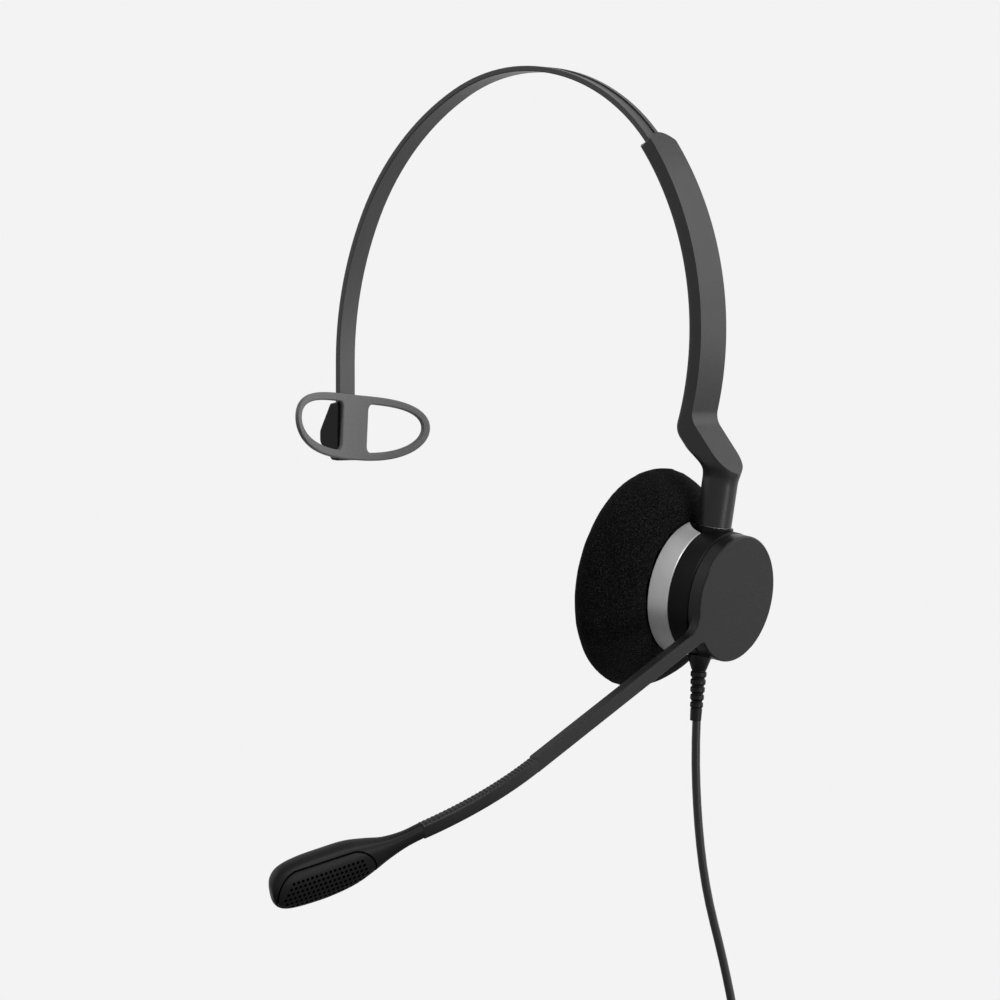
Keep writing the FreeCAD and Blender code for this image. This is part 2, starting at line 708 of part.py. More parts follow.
def holed_disc(label, corners, circles, hole_radius, depth, place):
    """A turned disc with rings of round holes along its axis."""
    body = turned_body(label, corners)
    for index, (ring_radius, count) in enumerate(circles):
        name = "%s_ring_%s" % (label, "abcd"[index])
        sketch = body.newObject("Sketcher::SketchObject", name + "_sketch")
        plane = [item for item in body.Origin.OriginFeatures if item.Role == "YZ_Plane"][0]
        sketch.AttachmentSupport = [(plane, "")]
        sketch.MapMode = "FlatFace"
        sketch.addGeometry(Part.Circle(Vector(ring_radius, 0, 0), Vector(0, 0, 1), float(hole_radius)), False)
        sketch.addConstraint(Sketcher.Constraint("PointOnObject", 0, 3, -1))
        radius_index = sketch.addConstraint(Sketcher.Constraint("Radius", 0, float(hole_radius)))
        sketch.setExpression("Constraints[%d]" % radius_index, formula_of(hole_radius))
        place_index = sketch.addConstraint(Sketcher.Constraint("DistanceX", -1, 1, 0, 3, float(ring_radius)))
        sketch.setExpression("Constraints[%d]" % place_index, formula_of(ring_radius))
        pocket = body.newObject("PartDesign::Pocket", name + "_hole")
        pocket.Profile = sketch
        pocket.Midplane = True
        pocket.setExpression("Length", formula_of(depth * 2))
        doc.recompute()
        pattern = body.newObject("PartDesign::PolarPattern", name + "_pattern")
        pattern.Originals = [pocket]
        pattern.Axis = (sketch, ["N_Axis"])
        pattern.Angle = 360
        pattern.Occurrences = count
        body.Tip = pattern
        doc.recompute()
    return keep(body, label, place)


holed_disc("speaker_baffle", [
    (-BAFFLE_BACK, 0.0),
    (-BAFFLE_BACK, size.flange_radius - 0.8),
    (-BAFFLE_FRONT + 0.4, size.flange_radius - 0.8),
    (-BAFFLE_FRONT, size.flange_radius - 1.6),
    (-BAFFLE_FRONT, 0.0),
], [(3.4, 6), (6.8, 12), (10.2, 18)], Size(0.8), BAFFLE_FRONT + 1, CUP)

turned("speaker_basket", [
    (-DRIVER_BACK, 0.0),
    (-DRIVER_BACK, size.driver_radius),
    (-DRIVER_FRONT, size.driver_radius),
    (-DRIVER_FRONT, size.driver_radius - 0.9),
    (-DRIVER_BACK - 0.8, size.driver_radius - 0.9),
    (-DRIVER_BACK - 0.8, 0.0),
], CUP)

turned("speaker_magnet", [
    (-DRIVER_BACK, 0.0),
    (-DRIVER_BACK, size.magnet_radius),
    (-DRIVER_BACK + size.magnet_thickness, size.magnet_radius),
    (-DRIVER_BACK + size.magnet_thickness, 0.0),
], CUP)

turned("speaker_diaphragm", [
    (-DRIVER_FRONT + 0.7, 0.0),
    (-DRIVER_FRONT + 0.7, 5.0),
    (-DRIVER_BACK - 0.9, 5.0),
    (-DRIVER_BACK - 0.9, 5.5),
    (-DRIVER_FRONT + 0.7, 5.5),
    (-DRIVER_FRONT + 0.7, size.driver_radius - 1.0),
    (-DRIVER_FRONT + 0.55, size.driver_radius - 1.0),
    (-DRIVER_FRONT + 0.55, 0.0),
], CUP)

turned("damping_felt", [
    (-DRIVER_FRONT + 0.05, 4.0),
    (-DRIVER_FRONT + 0.05, size.driver_radius - 1.2),
    (-DRIVER_FRONT + 0.45, size.driver_radius - 1.2),
    (-DRIVER_FRONT + 0.45, 4.0),
], CUP)

CUSHION_BACK = size.trim_depth + 0.15
CUSHION_LENGTH = size.cushion_depth - CUSHION_BACK
turned("ear_cushion", [
    (-CUSHION_BACK, size.neck_radius + 0.3),
    (-CUSHION_BACK, size.trim_large_radius + 0.3),
    (-CUSHION_BACK - 1.9, size.cushion_radius - 7.4),
    (-CUSHION_BACK - CUSHION_LENGTH * 0.28, size.cushion_radius - 4.3),
    (-CUSHION_BACK - CUSHION_LENGTH * 0.50, size.cushion_radius - 1.4),
    (-CUSHION_BACK - CUSHION_LENGTH * 0.72, size.cushion_radius),
    (-CUSHION_BACK - CUSHION_LENGTH * 0.88, size.cushion_radius - 1.0),
    (-CUSHION_BACK - CUSHION_LENGTH * 0.97, size.cushion_radius - 3.6),
    (-size.cushion_depth, size.cushion_radius - 7.6),
    (-size.cushion_depth + 0.3, size.cushion_radius - 12.0),
    (-size.cushion_depth + 1.4, 10.0),
    (-size.cushion_depth + 2.0, 0.0),
    (-BAFFLE_FRONT - 0.3, 0.0),
    (-BAFFLE_FRONT - 0.3, size.flange_radius + 0.3),
    (-FLANGE_BACK + 0.3, size.flange_radius + 0.3),
    (-FLANGE_BACK + 0.3, size.neck_radius + 0.3),
], CUP)


BOARD_BACK = DRUM_FLOOR + 2.95
BOARD_THICKNESS = 0.8
BOARD_WIDTH = 12.0
BOARD_HEIGHT = 5.0
BOARD_LOW = -NECK_INNER + 1.5
PAD_PLACES = (-4.0, -1.4, 1.4, 4.0)
POST_INSET = 1.1


def make_terminal_board():
    corner = Vector(-BOARD_BACK - BOARD_THICKNESS, -BOARD_WIDTH / 2, BOARD_LOW)
    board = Part.makeBox(BOARD_THICKNESS, BOARD_WIDTH, BOARD_HEIGHT, corner)
    for across in PAD_PLACES:
        spot = Vector(corner.x - 0.3, across, BOARD_LOW + BOARD_HEIGHT / 2)
        board = board.fuse(Part.makeCylinder(0.6, 0.3, spot, Vector(1, 0, 0)))
    return board


def make_terminal_posts():
    posts = []
    for side in (-1, 1):
        spot = Vector(-BOARD_BACK, side * (BOARD_WIDTH / 2 - POST_INSET),
                      BOARD_LOW + BOARD_HEIGHT - POST_INSET)
        posts.append(Part.makeCylinder(0.8, BOARD_BACK - DRUM_FLOOR, spot, Vector(1, 0, 0)))
    return Part.makeCompound(posts)


computed("terminal_board", make_terminal_board(), CUP)
computed("terminal_posts", make_terminal_posts(), CUP)

# ---------------------------------------------------------------- boom hub and boom

boom_angle = math.radians(size.boom_droop)
ALONG = Vector(0, -math.cos(boom_angle), -math.sin(boom_angle))
ACROSS = Vector(0, -math.sin(boom_angle), math.cos(boom_angle))
HALF_BOOM = size.boom_thickness / 2
boom_foot = ACROSS * size.boom_offset + Vector(-HALF_BOOM, 0, 0)
BOOM = CUP * Placement(boom_foot, Rotation(ALONG, Vector(1, 0, 0), ACROSS, "XYZ"))
HUB_IN_BOOM = BOOM.inverse() * CUP
FLEX_RADIUS = size.flex_length / math.radians(size.flex_bend)
flex_centre = Vector(size.boom_straight, -FLEX_RADIUS, 0)
half_bend = math.radians(size.flex_bend)
flex_tip = flex_centre + Vector(math.sin(half_bend), math.cos(half_bend), 0) * FLEX_RADIUS
MIC = BOOM * Placement(flex_tip, Rotation(Vector(0, 0, 1), -size.flex_bend))
ROOT_START = size.hub_radius - 5.0
BOOM_HALF_WIDTH = size.boom_width / 2
HUB_RISE = -size.boom_offset


def blend_arc(side, blend_radius):
    """The hollow corner between the boom's edge and the hub's rim, as start, middle and end points."""
    centre_z = side * (BOOM_HALF_WIDTH + blend_radius)
    reach = size.hub_radius + blend_radius
    centre = Vector(math.sqrt(reach ** 2 - (centre_z - HUB_RISE) ** 2), 0, centre_z)
    to_hub = (Vector(0, 0, HUB_RISE) - centre).normalize() * blend_radius
    to_boom = Vector(0, 0, -side * blend_radius)
    middle = (to_hub + to_boom).normalize() * blend_radius
    return centre + to_hub, centre + middle, centre + to_boom


def boom_outline():
    """The hub's disc and the boom as one outline, seen from outside."""
    upper = blend_arc(1, size.boom_upper_blend)
    lower = blend_arc(-1, size.boom_lower_blend)
    far_side = Vector(-size.hub_radius, 0, HUB_RISE)
    end = float(size.boom_straight)
    edges = [
        Part.Arc(lower[0], far_side, upper[0]).toShape(),
        Part.Arc(*upper).toShape(),
        line(upper[2], Vector(end, 0, BOOM_HALF_WIDTH)),
        line(Vector(end, 0, BOOM_HALF_WIDTH), Vector(end, 0, -BOOM_HALF_WIDTH)),
        line(Vector(end, 0, -BOOM_HALF_WIDTH), lower[2]),
        Part.Arc(*reversed(lower)).toShape(),
    ]
    return Part.Wire(edges)


def boom_plate(wire, low, high):
    face = Part.Face(wire)
    face.translate(Vector(0, low, 0))
    return face.extrude(Vector(0, high - low, 0))


def boom_bar(start, end, half_width, low, high):
    return Part.makeBox(end - start, high - low, 2 * half_width, Vector(start, low, -half_width))


def hub_disc(corners):
    """A disc turned about the hub's axis, given in the boom's own frame."""
    wire = Part.makePolygon([Vector(x, radius, 0) for x, radius in corners + corners[:1]])
    solid = Part.Face(wire).revolve(Vector(), Vector(1, 0, 0), 360)
    solid.Placement = HUB_IN_BOOM
    return solid


def hub_cylinder(radius, start, end, across=0.0, up=0.0):
    solid = Part.makeCylinder(radius, end - start, Vector(-end, across, up), Vector(1, 0, 0))
    solid.Placement = HUB_IN_BOOM
    return solid


HUB_COVER_BACK = size.hub_thickness
HUB_COVER_FRONT = size.hub_thickness - 1.1
HUB_INNER = size.hub_radius - size.hub_rim_wall
LID_THICKNESS = 0.6
HUB_CLIP_FRONT = DRUM_FLOOR + 1.95
HUB_CLIP_BACK = HUB_CLIP_FRONT + 0.7
SPINDLE_END = HUB_CLIP_BACK + 0.5
LID_GAP = 0.06
HUB_SCREW_RADIUS = 0.55
HUB_SCREW_HEAD_RADIUS = 1.2
HUB_SCREW_HEAD_HEIGHT = 0.5
FELT_OUTER = HUB_INNER - 0.6
FELT_INNER = FELT_OUTER - 2.1
HUB_SCREWS = []
for turn in (80, 200, 320):
    screw_circle = HUB_INNER - 4.1
    HUB_SCREWS.append((screw_circle * math.cos(math.radians(turn)),
                       screw_circle * math.sin(math.radians(turn))))


def make_boom_shell():
    plate = boom_plate(boom_outline(), -HALF_BOOM, HALF_BOOM)
    front_edges = []
    for edge in plate.Edges:
        if min(vertex.Y for vertex in edge.Vertexes) > HALF_BOOM - 1e-6:
            if min(vertex.X for vertex in edge.Vertexes) < size.boom_straight - 1e-6:
                front_edges.append(edge)
    plate = plate.makeFillet(0.45, front_edges)
    rim = hub_cylinder(size.hub_radius, size.boom_thickness / 2, size.hub_thickness)
    hollow = hub_cylinder(HUB_INNER, size.hub_face_wall, size.hub_thickness + 1)
    groove = boom_bar(ROOT_START, size.boom_straight - 2, BOOM_HALF_WIDTH - size.boom_wall,
                      -size.hub_thickness - 1, HALF_BOOM - size.boom_wall)
    shell = plate.fuse(rim).cut(hollow).cut(groove)
    for across, up in HUB_SCREWS:
        post = hub_cylinder(1.5, size.hub_face_wall - 0.2, HUB_COVER_FRONT - 0.02, across, up)
        thread = hub_cylinder(HUB_SCREW_RADIUS + 0.05, size.hub_face_wall - 0.4,
                              HUB_COVER_FRONT + 1, across, up)
        shell = shell.fuse(post).cut(thread)
    return shell.removeSplitter()


computed("boom_shell", make_boom_shell(), BOOM)


def make_boom_cover():
    plate = hub_cylinder(HUB_INNER - size.cover_gap, HUB_COVER_FRONT, HUB_COVER_BACK)
    spindle = hub_cylinder(size.spindle_radius, HUB_COVER_FRONT, SPINDLE_END)
    lid = boom_bar(ROOT_START + 2, size.boom_straight - 2.1, BOOM_HALF_WIDTH - size.boom_wall - LID_GAP,
                   -HALF_BOOM, -HALF_BOOM + LID_THICKNESS)
    bridge = boom_bar(ROOT_START + 1, ROOT_START + 5, BOOM_HALF_WIDTH - size.boom_wall - LID_GAP,
                      -size.hub_thickness + HALF_BOOM, -HALF_BOOM + LID_THICKNESS)
    wire_bore = hub_cylinder(size.spindle_radius - 1.2, HUB_COVER_FRONT - 1, SPINDLE_END + 1)
    groove_floor = size.spindle_radius - 0.5
    clip_groove = hub_disc([(-HUB_CLIP_FRONT, groove_floor), (-HUB_CLIP_FRONT, size.spindle_radius + 1),
                            (-HUB_CLIP_BACK, size.spindle_radius + 1), (-HUB_CLIP_BACK, groove_floor)])
    cover = plate.fuse(spindle).fuse(lid).fuse(bridge).cut(wire_bore).cut(clip_groove)
    for across, up in HUB_SCREWS:
        bore = hub_cylinder(HUB_SCREW_RADIUS + BORE_CLEARANCE, HUB_COVER_FRONT - 1,
                            HUB_COVER_BACK + 1, across, up)
        sink = hub_cylinder(HUB_SCREW_HEAD_RADIUS + 0.1, HUB_COVER_BACK - HUB_SCREW_HEAD_HEIGHT - 0.05,
                            HUB_COVER_BACK + 1, across, up)
        cover = cover.cut(bore).cut(sink)
    return cover


computed("boom_cover", make_boom_cover(), BOOM)


def make_hub_screws():
    screws = []
    for across, up in HUB_SCREWS:
        screw = small_screw(HUB_SCREW_RADIUS, 1.9, HUB_SCREW_HEAD_RADIUS, HUB_SCREW_HEAD_HEIGHT)
        screw.translate(Vector(-HUB_COVER_BACK + 0.03, across, up))
        screws.append(screw)
    return Part.makeCompound(screws)


computed("hub_screws", make_hub_screws(), CUP)

turned("hub_friction_ring", [
    (-HUB_COVER_BACK - 0.05, FELT_INNER),
    (-HUB_COVER_BACK - 0.05, FELT_OUTER),
    (-DRUM_BACK + 0.05, FELT_OUTER),
    (-DRUM_BACK + 0.05, FELT_INNER),
], CUP)
turned("hub_wave_washer", [
    (-DRUM_FLOOR - 0.05, size.spindle_radius + 0.15),
    (-DRUM_FLOOR - 0.05, size.spindle_radius + 2.0),
    (-DRUM_FLOOR - 1.6, size.spindle_radius + 2.0),
    (-DRUM_FLOOR - 1.6, size.spindle_radius + 0.15),
], CUP)
turned("hub_clip", [
    (-HUB_CLIP_FRONT - 0.02, size.spindle_radius - 0.48),
    (-HUB_CLIP_FRONT - 0.02, size.spindle_radius + 1.7),
    (-HUB_CLIP_BACK + 0.02, size.spindle_radius + 1.7),
    (-HUB_CLIP_BACK + 0.02, size.spindle_radius - 0.48),
], CUP)


# ---------------------------------------------------------------- flexible stretch

def flat_polar(radius, degrees):
    """A point of the boom's bend plane; degrees count along the bend."""
    angle = math.radians(degrees)
    return flex_centre + Vector(radius * math.sin(angle), radius * math.cos(angle), 0)


def bent_bar(inner, outer, first, last, half_height):
    middle = (first + last) / 2
    edges = [
        Part.Arc(*[flat_polar(outer, turn) for turn in (first, middle, last)]).toShape(),
        line(flat_polar(outer, last), flat_polar(inner, last)),
        Part.Arc(*[flat_polar(inner, turn) for turn in (last, middle, first)]).toShape(),
        line(flat_polar(inner, first), flat_polar(outer, first)),
    ]
    face = Part.Face(Part.Wire(edges))
    face.translate(Vector(0, 0, -half_height))
    return face.extrude(Vector(0, 0, 2 * half_height))


FLEX_RIB_COUNT = 22
FLEX_CORE_RADIUS = 0.5
FLEX_GROOVE_DEPTH = 0.35


def make_flex_sleeve():
    half_height = size.boom_width / 2 + 0.15
    sleeve = bent_bar(FLEX_RADIUS - HALF_BOOM - 0.1, FLEX_RADIUS + HALF_BOOM + 0.1,
                      0, size.flex_bend, half_height)
    step = size.flex_bend / (FLEX_RIB_COUNT + 1)
    grooves = []
    for index in range(FLEX_RIB_COUNT):
        turn = step * (index + 1)
        for side in (-1, 1):
            groove = bent_bar(FLEX_RADIUS - 3, FLEX_RADIUS + 3, turn - step * 0.2, turn + step * 0.2, 1.0)
            groove.translate(Vector(0, 0, side * (half_height - FLEX_GROOVE_DEPTH + 1.0)))
            grooves.append(groove)
    along = [flat_polar(FLEX_RADIUS, turn) for turn in (0, size.flex_bend / 2, size.flex_bend)]
    path = Part.Arc(*along).toShape()
    ring = Part.Wire(Part.makeCircle(FLEX_CORE_RADIUS + 0.05, flat_polar(FLEX_RADIUS, 0), Vector(1, 0, 0)))
    bore = Part.Wire(path).makePipe(Part.Face(ring))
    return sleeve.cut(Part.makeCompound(grooves)).cut(bore)


def make_flex_core():
    along = [flat_polar(FLEX_RADIUS, turn) for turn in (0, size.flex_bend / 2, size.flex_bend)]
    path = Part.Arc(*along).toShape()
    ring = Part.Wire(Part.makeCircle(FLEX_CORE_RADIUS, flat_polar(FLEX_RADIUS, 0), Vector(1, 0, 0)))
    return Part.Wire(path).makePipe(Part.Face(ring))


computed("flex_sleeve", make_flex_sleeve(), BOOM)
computed("flex_core", make_flex_core(), BOOM)

# ---------------------------------------------------------------- microphone

# stations along the head: (place, half height, inner side, outer side, sag), as shares of the full sizes
MIC_STATIONS = [
    (0.0, 0.325, 0.245, 1.10, 0.0),
    (0.12, 0.34, 0.28, 1.05, 0.25),
    (0.24, 0.48, 0.45, 1.0, 0.6),
    (0.34, 0.70, 0.72, 1.0, 0.85),
    (0.46, 0.915, 0.94, 1.0, 1.0),
    (0.62, 1.0, 1.0, 1.0, 0.9),
    (0.78, 0.99, 1.0, 1.0, 0.55),
    (0.90, 0.88, 0.90, 0.95, 0.3),
    (0.965, 0.65, 0.66, 0.75, 0.2),
    (1.0, 0.30, 0.30, 0.35, 0.1),
]
MIC_OUTER_SIDE = 1.15


def mic_section(place, half_height, inner, outer, sag, inset):
    """A rounded-box section across the microphone head."""
    points = []
    high = size.mic_half_width * half_height - inset
    inner_reach = (size.mic_depth - MIC_OUTER_SIDE) * inner - inset
    outer_reach = MIC_OUTER_SIDE * outer - inset
    centre = (outer_reach - inner_reach) / 2
    reach = (outer_reach + inner_reach) / 2
    for index in range(20):
        turn = 2 * math.pi * index / 20
        wide = math.copysign(abs(math.cos(turn)) ** 0.8, math.cos(turn))
        tall = math.copysign(abs(math.sin(turn)) ** 0.8, math.sin(turn))
        points.append(Vector(size.mic_length * place, centre + reach * wide,
                             high * tall - size.mic_sag * sag))
    spline = Part.BSplineCurve()
    spline.interpolate(points, PeriodicFlag=True)
    return Part.Wire(spline.toShape())


def mic_loft(stations, inset):
    return Part.makeLoft([mic_section(*station, inset) for station in stations], True, False)


CAP_START = 14.4
CAP_END = size.mic_length - 1.2
CAP_LOW = -8.0
CAP_HIGH = 4.4
CAP_PLANE = -0.9
CAP_SLOPE = 5.5


def along_cap(shape):
    """The cap lies at a small slope to the head."""
    shape.rotate(Vector(CAP_END, 0, 0), Vector(0, 1, 0), -CAP_SLOPE)
    return shape


def cap_block(grow):
    """A round-ended block that parts the cap from the housing."""
    radius = (CAP_HIGH - CAP_LOW) / 2 + grow
    middle = (CAP_HIGH + CAP_LOW) / 2
    first = Vector(CAP_START - grow + radius, 0, middle)
    last = Vector(CAP_END + grow - radius, 0, middle)
    low = CAP_PLANE - grow
    ends = [Part.makeCylinder(radius, 6, Vector(point.x, low, point.z), Vector(0, 1, 0))
            for point in (first, last)]
    box = Part.makeBox(last.x - first.x, 6, 2 * radius, Vector(first.x, low, middle - radius))
    return along_cap(box.fuse(ends))


GRILLE_COLUMNS = 17
GRILLE_LINES = 5
GRILLE_START = CAP_START + 4.6
GRILLE_LOW = -2.9
CAPSULE_PLACE = 34.0
CAPSULE_RADIUS = 3.0
CAPSULE_DEPTH = 1.8
BOOT_WALL = 0.5
MIC_FOAM_LENGTH = 18.0


def grille_holes():
    holes = []
    for column in range(GRILLE_COLUMNS):
        along = GRILLE_START + column * size.grille_pitch
        stagger = size.grille_pitch / 2 * (column % 2)
        for line_number in range(GRILLE_LINES):
            up = GRILLE_LOW + line_number * size.grille_pitch + stagger
            if up < CAP_HIGH - 2:
                spot = Vector(along, CAP_PLANE + 0.3, up)
                holes.append(Part.makeCylinder(size.grille_hole_radius, 4, spot, Vector(0, 1, 0)))
    return along_cap(Part.makeCompound(holes))


mic_solid = mic_loft(MIC_STATIONS, 0.0)
mic_hollow = mic_loft(MIC_STATIONS[3:9], size.mic_wall)


def make_mic_housing():
    return mic_solid.cut(mic_hollow).cut(cap_block(0.12))


def make_mic_cap():
    return mic_solid.common(cap_block(0.0)).cut(mic_hollow).cut(grille_holes())


computed("mic_housing", make_mic_housing(), MIC)
computed("mic_cap", make_mic_cap(), MIC)


def make_mic_boot():
    """A cup of rubber with its floor on the outer side of the capsule."""
    depth = CAPSULE_DEPTH + 0.4
    cup = Part.makeCylinder(CAPSULE_RADIUS + BOOT_WALL, depth, Vector(CAPSULE_PLACE, -3.6, 0),
                            Vector(0, 1, 0))
    room = Part.makeCylinder(CAPSULE_RADIUS + size.fixed_gap, depth, Vector(CAPSULE_PLACE, -3.02, 0),
                             Vector(0, 1, 0))
    return cup.cut(room)


computed("mic_boot", make_mic_boot(), MIC)
capsule = Part.makeCylinder(CAPSULE_RADIUS, CAPSULE_DEPTH, Vector(CAPSULE_PLACE, -3.0, 0), Vector(0, 1, 0))
computed("mic_capsule", capsule, MIC)
computed("mic_foam", Part.makeBox(MIC_FOAM_LENGTH, 0.5, 5.0, Vector(20.5, CAP_PLANE - 0.05, -2.6)), MIC)


# ---------------------------------------------------------------- head rest

leg_tip = far.end(size.band_thickness / 2) + LEG_DOWN * size.leg_straight
PIN_BELOW_LEG = 1.6
pin_point = leg_tip + LEG_DOWN * PIN_BELOW_LEG
REST = Placement(pin_point, Rotation())
REST_PLATE_BACK = size.band_thickness / 2 + size.rest_gap
REST_PLATE_FRONT = REST_PLATE_BACK + size.rest_thickness
REST_CENTRE_DROP = 0.4
REST_COVER_HALF_WIDTH = 6.6
REST_COVER_WALL = 1.2
REST_PIN_LENGTH = 2 * REST_COVER_HALF_WIDTH - 1.0
PIVOT_HALF_WIDTH = 4.3
PIVOT_HALF_DEPTH = 1.5
PIVOT_TOP = 4.2
PIVOT_LOW = -2.0
PIVOT_SLOT_MARGIN = 0.3
PIVOT_WASHER_THICKNESS = 0.3
PIVOT_WASHER_PLACE = PIVOT_HALF_WIDTH + 0.35


def rest_outline(inset, end_inset):
    """The rest's outline in its own plane: two shallow arcs joined by two round ends set a little high."""
    end_radius = size.rest_end_radius - inset
    half_height = size.rest_half_height - inset
    across = size.rest_half_length - size.rest_end_radius - (end_inset - inset)
    touches = []
    edges = []
    for sign in (1, -1):
        gap = half_height - sign * size.rest_end_rise
        big = (across ** 2 + gap ** 2 - end_radius ** 2) / (2 * (gap - end_radius))
        centre_z = sign * (half_height - big)
        aim = Vector(across, 0, size.rest_end_rise - centre_z).normalize()
        touches.append(Vector(aim.x * big, 0, centre_z + aim.z * big))
        ends = [Vector(-touches[-1].x, 0, touches[-1].z), touches[-1]]
        edges.append(Part.Arc(ends[0], Vector(0, 0, sign * half_height), ends[1]).toShape())
    for sign in (1, -1):
        ends = [Vector(sign * touch.x, 0, touch.z) for touch in touches]
        tip = Vector(sign * (across + end_radius), 0, size.rest_end_rise)
        edges.append(Part.Arc(ends[0], tip, ends[1]).toShape())
    return Part.Wire(Part.sortEdges(edges)[0])


def rest_prism(inset, end_inset):
    """The outline as a block across the rest, turned to face along X and leaned."""
    depth = 30.0
    block = Part.Face(rest_outline(inset, end_inset)).extrude(Vector(0, depth, 0))
    block.translate(Vector(0, -depth / 2, 0))
    block.rotate(Vector(), Vector(0, 0, 1), 90)
    block.rotate(Vector(), Vector(1, 0, 0), -size.rest_lean)
    block.translate(Vector(0, 0, -REST_CENTRE_DROP))
    return block


def rest_windows():
    window = rest_prism(size.rest_rim, size.rest_end_rim)
    middle = Part.makeBox(60, 2 * size.rest_bar_half_width, 60, Vector(-30, -size.rest_bar_half_width, -30))
    window = window.cut(middle)
    corners = []
    for edge in window.Edges:
        on_bar = [abs(abs(vertex.Y) - size.rest_bar_half_width) < 1e-4 for vertex in edge.Vertexes]
        if all(on_bar) and edge.Length > 29:
            corners.append(edge)
    return window.makeFillet(1.6, corners)


def make_rest_frame():
    axis_base = Vector(REST_PLATE_FRONT + size.rest_bow_radius, 0, -40)
    bowl = Part.makeCylinder(size.rest_bow_radius + size.rest_thickness, 80, axis_base)
    bowl = bowl.cut(Part.makeCylinder(size.rest_bow_radius, 80, axis_base))
    return bowl.common(rest_prism(0.0, 0.0)).cut(rest_windows())


def rounded_profile(corners, round_radius):
    """A closed wire through (x, z) corners whose inner corners are rounded."""
    wire = Part.makePolygon([Vector(x, 0, z) for x, z in corners + corners[:1]])
    face = Part.Face(wire)
    block = face.extrude(Vector(0, 1, 0))
    bends = []
    for edge in block.Edges:
        along_y = abs(edge.Vertexes[0].Y - edge.Vertexes[-1].Y) > 0.5
        if along_y and edge.Vertexes[0].X < -3.0:
            bends.append(edge)
    block = block.makeFillet(round_radius, bends)
    flat = [face for face in block.Faces if abs(face.CenterOfMass.y) < 1e-6]
    return flat[0].OuterWire


def make_rest_cover():
    outside = [(REST_PLATE_FRONT, 7.1), (-0.4, 6.3), (-4.1, -1.3),
               (-4.1, -4.6), (0.1, -9.4), (REST_PLATE_FRONT, -9.8)]
    inside = [(REST_PLATE_FRONT, 5.9), (0.4, 5.4), (-3.0, -1.2),
              (-3.0, -4.2), (0.6, -8.2), (REST_PLATE_FRONT, -8.5)]
    outer = slab(rounded_profile(outside, 2.6), 2 * REST_COVER_HALF_WIDTH)
    outer = outer.makeFillet(0.6, [edge for edge in side_edges(outer, REST_COVER_HALF_WIDTH)
                                   if edge.CenterOfMass.x < REST_PLATE_BACK - 0.5])
    inner = slab(Part.makePolygon([Vector(x, 0, z) for x, z in inside + inside[:1]]),
                 2 * (REST_COVER_HALF_WIDTH - REST_COVER_WALL))
    cover = outer.cut(inner)
    slot_half_width = PIVOT_HALF_WIDTH + PIVOT_SLOT_MARGIN
    slot = Part.makeBox(6.0, 2 * slot_half_width, 8.0, Vector(-2.6, -slot_half_width, 0.6))
    pin_bore = Part.makeCylinder(size.rest_pin_radius + size.fixed_gap, REST_PIN_LENGTH + 0.1,
                                 Vector(0, -REST_PIN_LENGTH / 2 - 0.05, 0), Vector(0, 1, 0))
    axis_base = Vector(REST_PLATE_FRONT + size.rest_bow_radius, 0, -40)
    beyond = Part.makeCylinder(size.rest_bow_radius + size.rest_thickness + size.fixed_gap, 80, axis_base)
    return cover.cut(slot).cut(pin_bore).cut(beyond)


computed("rest_frame", make_rest_frame(), REST)
computed("rest_rear_cover", make_rest_cover(), REST)


def make_pivot_block():
    block = Part.makeBox(2 * PIVOT_HALF_DEPTH, 2 * PIVOT_HALF_WIDTH, PIVOT_TOP - PIVOT_LOW,
                         Vector(-PIVOT_HALF_DEPTH, -PIVOT_HALF_WIDTH, PIVOT_LOW))
    block = block.cut(Part.makeBox(size.band_thickness, size.band_width, PIVOT_TOP,
                                   Vector(-size.band_thickness / 2, -size.band_width / 2, PIN_BELOW_LEG)))
    bore = Part.makeCylinder(size.rest_pin_radius + size.running_gap, 20, Vector(0, -10, 0), Vector(0, 1, 0))
    return block.cut(bore)


computed("pivot_block", make_pivot_block(), REST)
rest_pin = cylinder("rest_pin", size.rest_pin_radius, Size(REST_PIN_LENGTH),
                    pin_point - Vector(0, REST_PIN_LENGTH / 2, 0), Vector(0, 1, 0))
keep(rest_pin, "rest_pin")
for side, name in ((-1, "front"), (1, "back")):
    middle = side * PIVOT_WASHER_PLACE
    washer = cylinder("pivot_washer_" + name + "_disc", size.rest_pin_radius * 2,
                      Size(PIVOT_WASHER_THICKNESS), Vector(0, middle - PIVOT_WASHER_THICKNESS / 2, 0),
                      Vector(0, 1, 0))
    washer_bore = cylinder("pivot_washer_" + name + "_bore", size.rest_pin_radius + size.fixed_gap, Size(2.0),
                           Vector(0, middle - 1.0, 0), Vector(0, 1, 0))
    keep(cut_away("pivot_washer_" + name, washer, washer_bore), "pivot_washer_" + name, REST)


# ---------------------------------------------------------------- cord

CORD_START_RISE = 2.6
cord_bore_radius = size.cord_radius + size.fixed_gap
relief_top = RELIEF_GROOVE_TOP + RELIEF_FLANGE_HEIGHT
RIBS_TOP = -5.0
relief_profile = [
    (relief_top, cord_bore_radius),
    (relief_top, RELIEF_FLANGE_RADIUS),
    (RELIEF_GROOVE_TOP, RELIEF_FLANGE_RADIUS),
    (RELIEF_GROOVE_TOP, RELIEF_GROOVE_RADIUS),
    (RELIEF_GROOVE_FOOT, RELIEF_GROOVE_RADIUS),
    (RELIEF_GROOVE_FOOT, 3.15),
    (-2.0, 3.05),
    (RIBS_TOP, 2.05),
]
rib_top = RIBS_TOP
for rib in range(5):
    rib_radius = 2.15 - 0.1 * rib
    relief_profile += [
        (rib_top - 0.65, rib_radius - 0.45),
        (rib_top - 0.85, rib_radius),
        (rib_top - 1.85, rib_radius),
        (rib_top - 2.05, rib_radius - 0.45),
    ]
    rib_top -= 2.05
